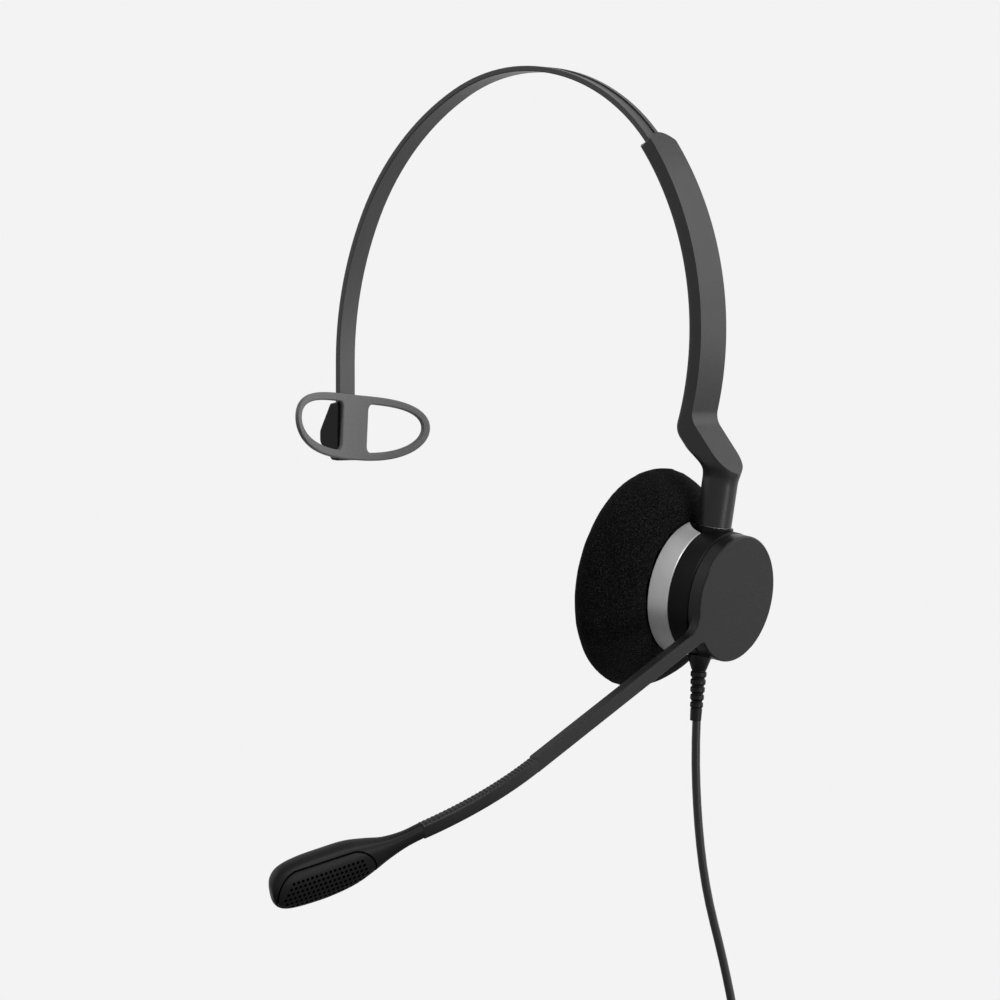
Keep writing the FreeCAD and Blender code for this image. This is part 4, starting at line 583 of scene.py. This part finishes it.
def upper_arm_point(turn, way):
    """A point of the arc, the knee or the slope."""
    outer = knee_profile(ARM_OUTER, KNEE_ANGLE, way)
    inner = knee_profile(ARM_INNER, KNEE_INNER_ANGLE, way)
    across = Vector((0, ARM_HALF_WIDTH, 0))

    def face(place):
        return outer + across * place

    def flank(share, side):
        return outer + across * side

    def back(angle):
        deep, wide = rounded_back(angle, BACK_SQUARENESS)
        return outer + (inner - outer) * deep + across * wide

    point = arm_section(round(turn * ARM_COLUMNS), face, flank, back)
    setback = MOUTH_ARCH_RADIUS - math.sqrt(MOUTH_ARCH_RADIUS ** 2 - point.y ** 2)
    fade = max(0.0, 1.0 - way / MOUTH_FADE)
    swing = Matrix.Rotation(setback * fade / ARM_OUTER, 4, "Y")
    return ARM_CENTRE + swing @ (point - ARM_CENTRE)


def stem_point(turn, height):
    """A point of the tongue and stem at a height over the stem's top."""
    half_width = blended(STEM_RADIUS, ARM_HALF_WIDTH, (height + WIDTH_START) / WIDTH_RUN)
    reach = blended(STEM_RADIUS, TONGUE_HALF_DEPTH, (height + REACH_START) / REACH_RUN)
    plane = TONGUE_REACH - SLOPE_RUN * height
    squareness = blended(1.0, BACK_SQUARENESS, (height + SQUARE_START) / (TONGUE_TOP + SQUARE_START))
    slope_in = BACK_REACH + SLOPE_RUN * height
    depth = math.log(math.exp(STEM_RADIUS / BACK_BLEND) + math.exp(slope_in / BACK_BLEND)) * BACK_BLEND
    depth = blended(STEM_RADIUS, depth, (height + BACK_START) / BACK_RUN)
    cut = max(-1.0, min(1.0, plane / reach))
    limit = math.acos(cut)

    def at(out, wide):
        return STEM_TOP + UPWARD * height + OUTWARD * out + REARWARD * wide

    def face(place):
        return at(reach * cut, half_width * math.sin(limit) * place)

    def flank(share, side):
        angle = limit + (math.pi / 2 - limit) * share
        return at(reach * math.cos(angle), side * half_width * math.sin(angle))

    def back(angle):
        deep, wide = rounded_back(angle, squareness)
        return at(-depth * deep, half_width * wide)

    return arm_section(round(turn * ARM_COLUMNS), face, flank, back)


def arm_point(turn, way):
    """Half of the rows go to the arc and the knee, the rest to the tongue and the stem."""
    if way < 0.5:
        return upper_arm_point(turn, way * 6.0)
    return stem_point(turn, TONGUE_TOP - (TONGUE_TOP + STEM_LENGTH) * (way - 0.5) * 2.0)


arm = finished("arm", skin(ARM_COLUMNS, ARM_ROWS, arm_point), "arm", "arm_plastic", ["arm_shell"])
softened(arm, 0.4)


# ---------------------------------------------------------------- boom's own frame

BOOM_DROOP = math.radians(25.4)
BOOM_OFFSET = -2.4
BOOM_HALF_THICKNESS = 1.25
BOOM_HALF_WIDTH = 2.1
BOOM_STRAIGHT = 89.0
FLEX_LENGTH = 38.8
FLEX_BEND = math.radians(20.4)
FLEX_RADIUS = FLEX_LENGTH / FLEX_BEND
ALONG = Vector((0, -math.cos(BOOM_DROOP), -math.sin(BOOM_DROOP)))
ACROSS = Vector((0, -math.sin(BOOM_DROOP), math.cos(BOOM_DROOP)))
BOOM = CUP @ axes(ALONG, Vector((1, 0, 0)), ACROSS,
                  ACROSS * BOOM_OFFSET - Vector((BOOM_HALF_THICKNESS, 0, 0)))
FLEX_TIP = Vector((BOOM_STRAIGHT + FLEX_RADIUS * math.sin(FLEX_BEND),
                   FLEX_RADIUS * (math.cos(FLEX_BEND) - 1), 0))
MIC = BOOM @ Matrix.Translation(FLEX_TIP) @ Matrix.Rotation(-FLEX_BEND, 4, "Z")

FLEX_RIBS = 30
FLEX_ROWS_PER_RIB = 6
RIB_DEPTH = 0.12
# the ribs are only on the upper edge: above this share of the half width
RIB_EDGE = 0.85
FLEX_SQUARENESS = 0.35
FLEX_COLUMNS = 40
FLEX_CORE_RADIUS = 0.5
FLEX_CORE_COLUMNS = 16


def squared(turn, squareness):
    """A rounded-box section of half size 1, by turn from 0 to 1."""
    angle = 2 * math.pi * turn
    wide = math.copysign(abs(math.cos(angle)) ** squareness, math.cos(angle))
    tall = math.copysign(abs(math.sin(angle)) ** squareness, math.sin(angle))
    return wide, tall


def bent(out, up, way):
    """A point of the bent stretch: out from the bend's centre and up, at a way from 0 to 1."""
    angle = FLEX_BEND * way
    return Vector((BOOM_STRAIGHT + out * math.sin(angle), out * math.cos(angle) - FLEX_RADIUS, up))


def flex_point(turn, way):
    wide, tall = squared(turn, FLEX_SQUARENESS)
    rib = (way * FLEX_RIBS) % 1.0
    dip = RIB_DEPTH if 0.25 < rib < 0.75 and tall > RIB_EDGE else 0.0
    return bent(FLEX_RADIUS + wide * BOOM_HALF_THICKNESS, tall * BOOM_HALF_WIDTH - dip, way)


def core_point(turn, way):
    across = 2 * math.pi * turn
    return bent(FLEX_RADIUS + FLEX_CORE_RADIUS * math.cos(across), FLEX_CORE_RADIUS * math.sin(across), way)


flex = finished("flex_sleeve_ribbed", skin(FLEX_COLUMNS, FLEX_RIBS * FLEX_ROWS_PER_RIB, flex_point), None,
                "boom_rubber", ["flex_sleeve"], matrix=BOOM)
flex_core = finished("flex_core_wire", skin(FLEX_CORE_COLUMNS, FLEX_RIBS, core_point), None,
                     "dark_steel", ["flex_core"], matrix=BOOM)
for bending in (flex, flex_core):
    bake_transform(bending)


# ---------------------------------------------------------------- microphone head

MIC_LENGTH = 43.2
MIC_HALF_WIDTH = 6.5
MIC_SAG = 1.6
MIC_OUTER_SIDE = 1.15
MIC_INNER_SIDE = 6.45
MIC_COLUMNS = 80
MIC_ROWS = 110
MIC_SQUARENESS = 0.8
# above 1, the rows crowd towards the tip, where the head rounds off
MIC_CROWDING = 1.35
MIC_TIP_START = 0.985
# place along the head, then half height, inner side, outer side and sag as shares of the full sizes
MIC_STATIONS = [
    (0.0, 0.325, 0.245, 1.10, 0.0),
    (0.12, 0.34, 0.28, 1.05, 0.25),
    (0.24, 0.48, 0.45, 1.0, 0.6),
    (0.34, 0.70, 0.72, 1.0, 0.85),
    (0.46, 0.915, 0.94, 1.0, 1.0),
    (0.62, 1.0, 1.0, 1.0, 0.9),
    (0.78, 0.99, 1.0, 1.0, 0.55),
    (0.90, 0.88, 0.90, 0.95, 0.3),
    (0.965, 0.65, 0.66, 0.75, 0.2),
    (1.0, 0.30, 0.30, 0.35, 0.1),
]


def through(stations, place):
    """The stations' values at a place, along a smooth curve through them."""
    last = len(stations) - 1
    index = 0
    while index < last - 1 and place > stations[index + 1][0]:
        index += 1
    near, far = stations[index], stations[index + 1]
    before, after = stations[max(index - 1, 0)], stations[min(index + 2, last)]
    span = far[0] - near[0]
    share = (place - near[0]) / span
    values = []
    for column in range(1, len(near)):
        lead = (far[column] - before[column]) / (far[0] - before[0]) * span
        follow = (after[column] - near[column]) / (after[0] - near[0]) * span
        cube, square = share ** 3, share ** 2
        values.append((2 * cube - 3 * square + 1) * near[column] + (cube - 2 * square + share) * lead
                      + (3 * square - 2 * cube) * far[column] + (cube - square) * follow)
    return values


def mic_point(turn, way):
    place = 1.0 - (1.0 - way) ** MIC_CROWDING
    half_height, inner, outer, sag = through(MIC_STATIONS, place)
    past = max(0.0, (place - MIC_TIP_START) / (1.0 - MIC_TIP_START))
    tip = math.sqrt(max(0.0, 1.0 - past ** 2))
    wide, tall = squared(turn, MIC_SQUARENESS)
    reach_out, reach_in = MIC_OUTER_SIDE * outer * tip, MIC_INNER_SIDE * inner * tip
    side = (reach_out - reach_in) / 2 + (reach_out + reach_in) / 2 * wide
    return Vector((MIC_LENGTH * place, side, MIC_HALF_WIDTH * half_height * tip * tall - MIC_SAG * sag))


CAP_START = 14.4
CAP_END = 42.0
CAP_LOW = -8.0
CAP_HIGH = 4.4
CAP_PLANE = -0.9
CAP_RADIUS = (CAP_HIGH - CAP_LOW) / 2
CAP_MIDDLE = (CAP_HIGH + CAP_LOW) / 2
CAP_PROUD = 4.0
CAP_SLOPE = math.radians(-5.5)
GROOVE_WIDTH = 0.45
SIDEWAYS = Matrix.Rotation(math.pi / 2, 4, "X")
CAP_TURN = (Matrix.Translation((CAP_END, 0, 0)) @ Matrix.Rotation(CAP_SLOPE, 4, "Y")
            @ Matrix.Translation((-CAP_END, 0, 0)))


def cap_block(grow, low, high):
    """A round-ended block over the cap, from low to high across the head."""
    mesh = bmesh.new()
    outline = bmesh.ops.create_circle(mesh, cap_ends=True, segments=96, radius=CAP_RADIUS + grow)
    stretch = (CAP_END - CAP_START) / 2 - CAP_RADIUS
    for vert in outline["verts"]:
        vert.co.x += math.copysign(stretch, vert.co.x)
    pushed = bmesh.ops.extrude_face_region(mesh, geom=list(mesh.faces))
    raised = [item for item in pushed["geom"] if isinstance(item, bmesh.types.BMVert)]
    bmesh.ops.translate(mesh, verts=raised, vec=(0, 0, high - low))
    bmesh.ops.recalc_face_normals(mesh, faces=mesh.faces)
    centre = Matrix.Translation(((CAP_START + CAP_END) / 2, high, CAP_MIDDLE))
    mesh.transform(CAP_TURN @ centre @ SIDEWAYS)
    return mesh


GRILLE_PITCH = 1.3
GRILLE_COLUMNS = 20
GRILLE_ROWS = range(-3, 4)
# each row starts this share of the pitch further along than the one under it
GRILLE_SLANT = 0.35
GRILLE_START = 2.4
GRILLE_DROP = 0.3
GRILLE_MARGIN = 1.7
HOLE_RADIUS = 0.42
HOLE_DEPTH = 1.3
HOLE_SIDES = 16


def grille_holes():
    """Drills for the grille: slanting columns that fill the cap's middle."""
    mesh = bmesh.new()
    for column in range(GRILLE_COLUMNS):
        for row in GRILLE_ROWS:
            along = CAP_START + GRILLE_START + column * GRILLE_PITCH + row * GRILLE_PITCH * GRILLE_SLANT
            up = CAP_MIDDLE - GRILLE_DROP + row * GRILLE_PITCH
            beyond = max(CAP_START + CAP_RADIUS - along, along - CAP_END + CAP_RADIUS, 0.0)
            if math.hypot(beyond, up - CAP_MIDDLE) > CAP_RADIUS - GRILLE_MARGIN:
                continue
            place = Matrix.Translation((along, 0, up)) @ SIDEWAYS
            bmesh.ops.create_cone(mesh, cap_ends=True, segments=HOLE_SIDES, radius1=HOLE_RADIUS,
                                  radius2=HOLE_RADIUS, depth=2 * (MIC_OUTER_SIDE + HOLE_DEPTH),
                                  matrix=CAP_TURN @ place)
    return mesh


def tool(name, mesh, matrix):
    """A hidden cutter for a boolean."""
    mesh.transform(Matrix.Scale(MM, 4) @ matrix)
    data = bpy.data.meshes.new(name)
    mesh.to_mesh(data)
    mesh.free()
    cutter = bpy.data.objects.new(name, data)
    bpy.context.scene.collection.objects.link(cutter)
    return cutter


def carved(piece, cutter, operation):
    """Applies one boolean and drops its cutter."""
    step = piece.modifiers.new("carve", "BOOLEAN")
    step.operation = operation
    step.solver = "EXACT"
    step.object = cutter
    baked(piece)
    bpy.data.objects.remove(cutter)


def make_mic_head():
    """The housing with a seat for the cap, and the cap with its grille, cut from one shape."""
    housing = finished("mic_body", skin(MIC_COLUMNS, MIC_ROWS, mic_point), "microphone", "mic_plastic",
                       ["mic_housing"], MIC)
    carved(housing, tool("cap_seat", cap_block(GROOVE_WIDTH, CAP_PLANE, CAP_PROUD), MIC), "DIFFERENCE")
    cap = finished("mic_grille_cap", skin(MIC_COLUMNS, MIC_ROWS, mic_point), "microphone", "mic_plastic",
                   ["mic_cap"], MIC)
    carved(cap, tool("cap_blank", cap_block(0.0, CAP_PLANE + 0.05, CAP_PROUD), MIC), "INTERSECT")
    carved(cap, tool("grille", grille_holes(), MIC), "DIFFERENCE")
    for piece in (housing, cap):
        piece.data.set_sharp_from_angle(angle=math.radians(32))


make_mic_head()


# ---------------------------------------------------------------- head rest

PIN_POINT = joint_place("rest_rock")
REST_HALF_LENGTH = 29.85
REST_HALF_HEIGHT = 9.15
REST_END_RISE = 1.4
REST_FULLNESS = 3.0
REST_ROUNDNESS = 2.1
REST_RIM = 2.3
REST_END_RIM = 2.4
REST_BAR_HALF_WIDTH = 5.7
REST_THICKNESS = 1.3
REST_BOW_RADIUS = 122.0
REST_LEAN = math.radians(3.8)
REST_BACK = 2.25
REST_DROP = 0.4
REST_CORNER = 1.8
REST_STEPS = 72
REST_ROUNDING = 0.4
# how far the outline stops short of its ends, where its height would be nothing
REST_END_GAP = 0.001
# cuts across the plate, so that it can bow
REST_CUTS = range(-17, 18)
REST_CUT_STEP = 1.7


def rest_half_height(across, inset, end_inset):
    """How high the outline stands above and below the middle, at a place across it."""
    share = min(abs(across) / (REST_HALF_LENGTH - end_inset), 1.0)
    reach = (REST_HALF_HEIGHT - inset) * (1 - share ** REST_FULLNESS) ** (1 / REST_ROUNDNESS)
    rise = REST_END_RISE * share ** 2
    return rise + reach, rise - reach


def rest_loop(curve, start, end, inset, end_inset, corner):
    """A closed outline from start to end across the rest; a corner above 0 rounds its straight sides."""
    top, bottom = [], []
    for index in range(REST_STEPS + 1):
        share = (1 - math.cos(math.pi * index / REST_STEPS)) / 2
        across = start + (end - start) * share
        high, low = rest_half_height(across, inset, end_inset)
        if corner:
            straight = start if abs(start) < abs(end) else end
            near = min(abs(across - straight) / corner, 1.0)
            trim = corner * (1 - math.sqrt(1 - (1 - near) ** 2))
            high, low = high - trim, low + trim
        top.append((across, high))
        bottom.append((across, low))
    outline = top + bottom[::-1]
    spline = curve.splines.new("POLY")
    spline.points.add(len(outline) - 1)
    for point, (across, up) in zip(spline.points, outline):
        point.co = (across, up, 0, 1)
    spline.use_cyclic_u = True


def make_rest():
    """The open oval plate, rounded all over, leaned and bowed round the head."""
    curve = bpy.data.curves.new("rest_outline", "CURVE")
    curve.dimensions = "2D"
    curve.fill_mode = "BOTH"
    curve.extrude = REST_THICKNESS / 2 - REST_ROUNDING
    curve.bevel_depth = REST_ROUNDING
    curve.bevel_resolution = 3
    curve.offset = -REST_ROUNDING
    end = REST_HALF_LENGTH - REST_END_GAP
    rest_loop(curve, -end, end, 0.0, 0.0, 0.0)
    window_end = REST_HALF_LENGTH - REST_END_RIM - REST_END_GAP
    for side in (1, -1):
        edges = sorted((side * REST_BAR_HALF_WIDTH, side * window_end))
        rest_loop(curve, *edges, REST_RIM, REST_END_RIM, REST_CORNER)
    flat = bpy.data.objects.new("rest_outline", curve)
    bpy.context.scene.collection.objects.link(flat)
    bpy.context.view_layer.update()
    mesh = bmesh.new()
    seen = flat.evaluated_get(bpy.context.evaluated_depsgraph_get())
    mesh.from_mesh(bpy.data.meshes.new_from_object(seen))
    bpy.data.objects.remove(flat)
    bmesh.ops.remove_doubles(mesh, verts=mesh.verts, dist=1e-4)
    for cut in REST_CUTS:
        geometry = list(mesh.verts) + list(mesh.edges) + list(mesh.faces)
        bmesh.ops.bisect_plane(mesh, geom=geometry, plane_co=(cut * REST_CUT_STEP, 0, 0),
                               plane_no=(1, 0, 0), dist=1e-4)
    facing = Matrix(((0, 0, 1), (1, 0, 0), (0, 1, 0))).to_4x4()
    lean = Matrix.Rotation(-REST_LEAN, 4, "X")
    mesh.transform(Matrix.Translation((REST_BACK + REST_THICKNESS / 2, 0, -REST_DROP)) @ lean @ facing)
    for vert in mesh.verts:
        vert.co.x += REST_BOW_RADIUS - math.sqrt(REST_BOW_RADIUS ** 2 - vert.co.y ** 2)
    bmesh.ops.recalc_face_normals(mesh, faces=mesh.faces)
    finished("head_rest_plate", mesh, "head_rest", "rest_plastic", ["rest_frame"],
             Matrix.Translation(PIN_POINT), 40.0)


make_rest()


# ---------------------------------------------------------------- ear cushion

CUSHION_BACK = 16.55
CUSHION_FRONT = 34.4
CUSHION_RADIUS = 30.2
CUSHION_MOUTH = 17.2
CUSHION_LIP = 1.9
HOLLOW_RADIUS = 20.9
HOLLOW_FRONT = 8.5
CUSHION_VOXEL = 1.3


def make_cushion():
    """A foam pad: dished behind, full at the rim and softly domed in front."""
    depth = CUSHION_FRONT - CUSHION_BACK
    mesh = turned([
        (-CUSHION_BACK, CUSHION_MOUTH),
        (-CUSHION_BACK, 18.6),
        (-CUSHION_BACK - 1.7, CUSHION_RADIUS - 7.6),
        (-CUSHION_BACK - depth * 0.28, CUSHION_RADIUS - 4.4),
        (-CUSHION_BACK - depth * 0.50, CUSHION_RADIUS - 1.6),
        (-CUSHION_BACK - depth * 0.72, CUSHION_RADIUS - 0.15),
        (-CUSHION_BACK - depth * 0.88, CUSHION_RADIUS - 1.1),
        (-CUSHION_BACK - depth * 0.97, CUSHION_RADIUS - 3.7),
        (-CUSHION_FRONT + 0.1, CUSHION_RADIUS - 7.8),
        (-CUSHION_FRONT + 0.4, CUSHION_RADIUS - 12.0),
        (-CUSHION_FRONT + 1.5, 10.0),
        (-CUSHION_FRONT + 2.1, 0.0),
        (-CUSHION_FRONT + HOLLOW_FRONT, 0.0),
        (-CUSHION_FRONT + HOLLOW_FRONT, HOLLOW_RADIUS),
        (-CUSHION_BACK - CUSHION_LIP, HOLLOW_RADIUS),
        (-CUSHION_BACK - CUSHION_LIP, CUSHION_MOUTH),
    ], 96)
    cushion = finished("foam_cushion", mesh, "speaker_housing", "foam", ["ear_cushion"], CUP, 180.0)
    remesh = cushion.modifiers.new("voxels", "REMESH")
    remesh.mode = "VOXEL"
    remesh.voxel_size = CUSHION_VOXEL * MM
    remesh.use_smooth_shade = True
    baked(cushion)
    puffed(cushion)
    rounder = cushion.modifiers.new("rounder", "SUBSURF")
    rounder.levels = rounder.render_levels = 1
    baked(cushion)
    cushion.data.shade_smooth()
    return cushion


SWELL_LIMIT = 0.6 * MM
SWELL_FRAMES = 20
SWELL_PRESSURE = 4.0
FOAM_STIFFNESS = 40.0
# the part of the pad round the cup, which stays where it is
HELD_RADIUS = 21.4
HELD_FRONT = -27.0


def puffed(piece):
    """Swells the pad by cloth under a little pressure; no point moves further than the limit."""
    rest_places = [vert.co.copy() for vert in piece.data.vertices]
    held = piece.vertex_groups.new(name="held")
    local = CUP.inverted() @ Matrix.Scale(1 / MM, 4)
    for vert in piece.data.vertices:
        place = local @ vert.co
        if math.hypot(place.y, place.z) < HELD_RADIUS and place.x > HELD_FRONT:
            held.add([vert.index], 1.0, "REPLACE")
    cloth = piece.modifiers.new("cloth", "CLOTH")
    cloth.settings.use_pressure = True
    cloth.settings.uniform_pressure_force = SWELL_PRESSURE
    cloth.settings.tension_stiffness = FOAM_STIFFNESS
    cloth.settings.compression_stiffness = FOAM_STIFFNESS
    cloth.settings.vertex_group_mass = "held"
    cloth.settings.effector_weights.gravity = 0.0
    cloth.point_cache.frame_end = SWELL_FRAMES
    scene = bpy.context.scene
    for number in range(1, SWELL_FRAMES + 1):
        scene.frame_set(number)
    baked(piece)
    scene.frame_set(1)
    for vert, start in zip(piece.data.vertices, rest_places):
        moved = vert.co - start
        if moved.length > SWELL_LIMIT:
            vert.co = start + moved.normalized() * SWELL_LIMIT


cushion = make_cushion()


# ---------------------------------------------------------------- strain relief

RELIEF_FOOT = Vector(CORD_POINTS[1]) / MM
RELIEF_UP = (Vector(CORD_POINTS[0]) / MM - RELIEF_FOOT).normalized()
RELIEF_RIBS = 5
RELIEF_FOOT_GAP = 1.0
RELIEF_BORE = 1.16
RELIEF_PITCH = 2.05
RELIEF_GROOVE = 0.35
RELIEF_SLIM_RADIUS = 1.75
RELIEF_WIDENING = 0.1


def make_relief():
    """A rubber sleeve: a conical root, five ribs and a slim end."""
    foot = RELIEF_FOOT_GAP
    outline = [(foot, RELIEF_BORE), (foot, 1.5), (foot + 3.2, 1.6)]
    top = foot + 3.4
    for rib in range(RELIEF_RIBS):
        radius = RELIEF_SLIM_RADIUS + RELIEF_WIDENING * rib
        neck = radius - RELIEF_GROOVE
        outline += [(top, neck), (top + 0.3, radius), (top + 1.4, radius), (top + 1.7, neck)]
        top += RELIEF_PITCH
    outline += [(top + 0.1, 2.05), (top + 3.0, 3.05), (top + 4.1, 3.15), (top + 4.1, RELIEF_BORE)]
    mesh = turned(outline, 48)
    facing = RELIEF_UP.to_track_quat("X", "Z").to_matrix().to_4x4()
    relief = finished("cord_relief", mesh, "speaker_housing", "relief_rubber", ["strain_relief"],
                      Matrix.Translation(RELIEF_FOOT) @ facing, 50.0)
    softened(relief, 0.12, 2)


make_relief()


# ---------------------------------------------------------------- stage

BACKGROUND = 0.896
WORLD_LIGHT = 0.14
FLOOR_RADIUS = 0.55
FLOOR_HEIGHT = -0.36
FLOOR_COLOUR = 0.35
FLOOR_GLOW = 0.6
FADE_START = 0.25
FADE_END = 0.52
OBJECT_MIDDLE = Vector((0.0, -0.02, -0.12))
# name, azimuth and elevation in degrees, distance and size in metres, power in watts
LAMPS = [
    ("softbox", 55.0, 16.0, 1.2, 0.9, 4.2),
    ("key", -12.0, 26.0, 1.1, 0.3, 4.0),
    ("low_strip", 4.0, -12.0, 1.1, 0.2, 2.6),
    ("top", 34.0, 60.0, 1.1, 0.3, 1.2),
    ("back_fill", -150.0, 30.0, 1.2, 1.0, 4.0),
]


def plain(level):
    return (level, level, level, 1)


def make_world():
    """An even soft light; what looks straight at it, or mirrors it, sees the pale background."""
    world = bpy.data.worlds.new("studio")
    bpy.context.scene.world = world
    world.use_nodes = True
    tree = world.node_tree
    tree.nodes.clear()
    soft = linked(tree, "ShaderNodeBackground", Color=plain(1), Strength=WORLD_LIGHT)
    pale = linked(tree, "ShaderNodeBackground", Color=plain(BACKGROUND), Strength=1.0)
    path = tree.nodes.new("ShaderNodeLightPath").outputs
    direct = maths(tree, "ADD", path["Is Camera Ray"], path["Is Transmission Ray"], clamp=True)
    seen = maths(tree, "ADD", direct, path["Is Glossy Ray"], clamp=True)
    mix = tree.nodes.new("ShaderNodeMixShader")
    result = tree.nodes.new("ShaderNodeOutputWorld")
    tree.links.new(seen, mix.inputs[0])
    tree.links.new(soft.outputs[0], mix.inputs[1])
    tree.links.new(pale.outputs[0], mix.inputs[2])
    tree.links.new(mix.outputs[0], result.inputs["Surface"])


def make_floor():
    """A pale round floor that fades out into the background."""
    mesh = bmesh.new()
    bmesh.ops.create_circle(mesh, cap_ends=True, segments=96, radius=FLOOR_RADIUS)
    mesh.transform(Matrix.Translation((0, 0, FLOOR_HEIGHT)))
    data = bpy.data.meshes.new("floor")
    mesh.to_mesh(data)
    mesh.free()
    floor = bpy.data.objects.new("floor", data)
    bpy.context.scene.collection.objects.link(floor)
    material, tree, surface = new_material("floor")
    surface.inputs["Base Color"].default_value = plain(FLOOR_COLOUR)
    surface.inputs["Roughness"].default_value = 0.9
    surface.inputs["Emission Color"].default_value = plain(BACKGROUND)
    rays = tree.nodes.new("ShaderNodeLightPath")
    glow = maths(tree, "MULTIPLY", rays.outputs["Is Camera Ray"], FLOOR_GLOW)
    tree.links.new(glow, surface.inputs["Emission Strength"])
    place = tree.nodes.new("ShaderNodeTexCoord")
    level = linked(tree, "ShaderNodeVectorMath", operation="MULTIPLY")
    level.inputs[1].default_value = (1, 1, 0)
    distance = linked(tree, "ShaderNodeVectorMath", operation="LENGTH")
    tree.links.new(place.outputs["Object"], level.inputs[0])
    tree.links.new(level.outputs[0], distance.inputs[0])
    fade = ranged(tree, distance.outputs["Value"], FADE_START, FADE_END, 1.0, 0.0)
    tree.links.new(fade, surface.inputs["Alpha"])
    data.materials.append(material)


def make_lamp(name, azimuth, elevation, distance, size, power):
    """A square soft light that shines at the object's middle."""
    data = bpy.data.lights.new(name, "AREA")
    data.shape = "SQUARE"
    data.size = size
    data.energy = power
    lamp = bpy.data.objects.new(name, data)
    bpy.context.scene.collection.objects.link(lamp)
    back = from_angles(math.radians(azimuth), math.radians(elevation))
    lamp.location = OBJECT_MIDDLE + back * distance
    lamp.rotation_mode = "QUATERNION"
    lamp.rotation_quaternion = back.to_track_quat("Z", "Y")


bpy.context.scene.view_settings.view_transform = "Standard"
make_world()
make_floor()
for lamp in LAMPS:
    make_lamp(*lamp)


bpy.context.view_layer.update()
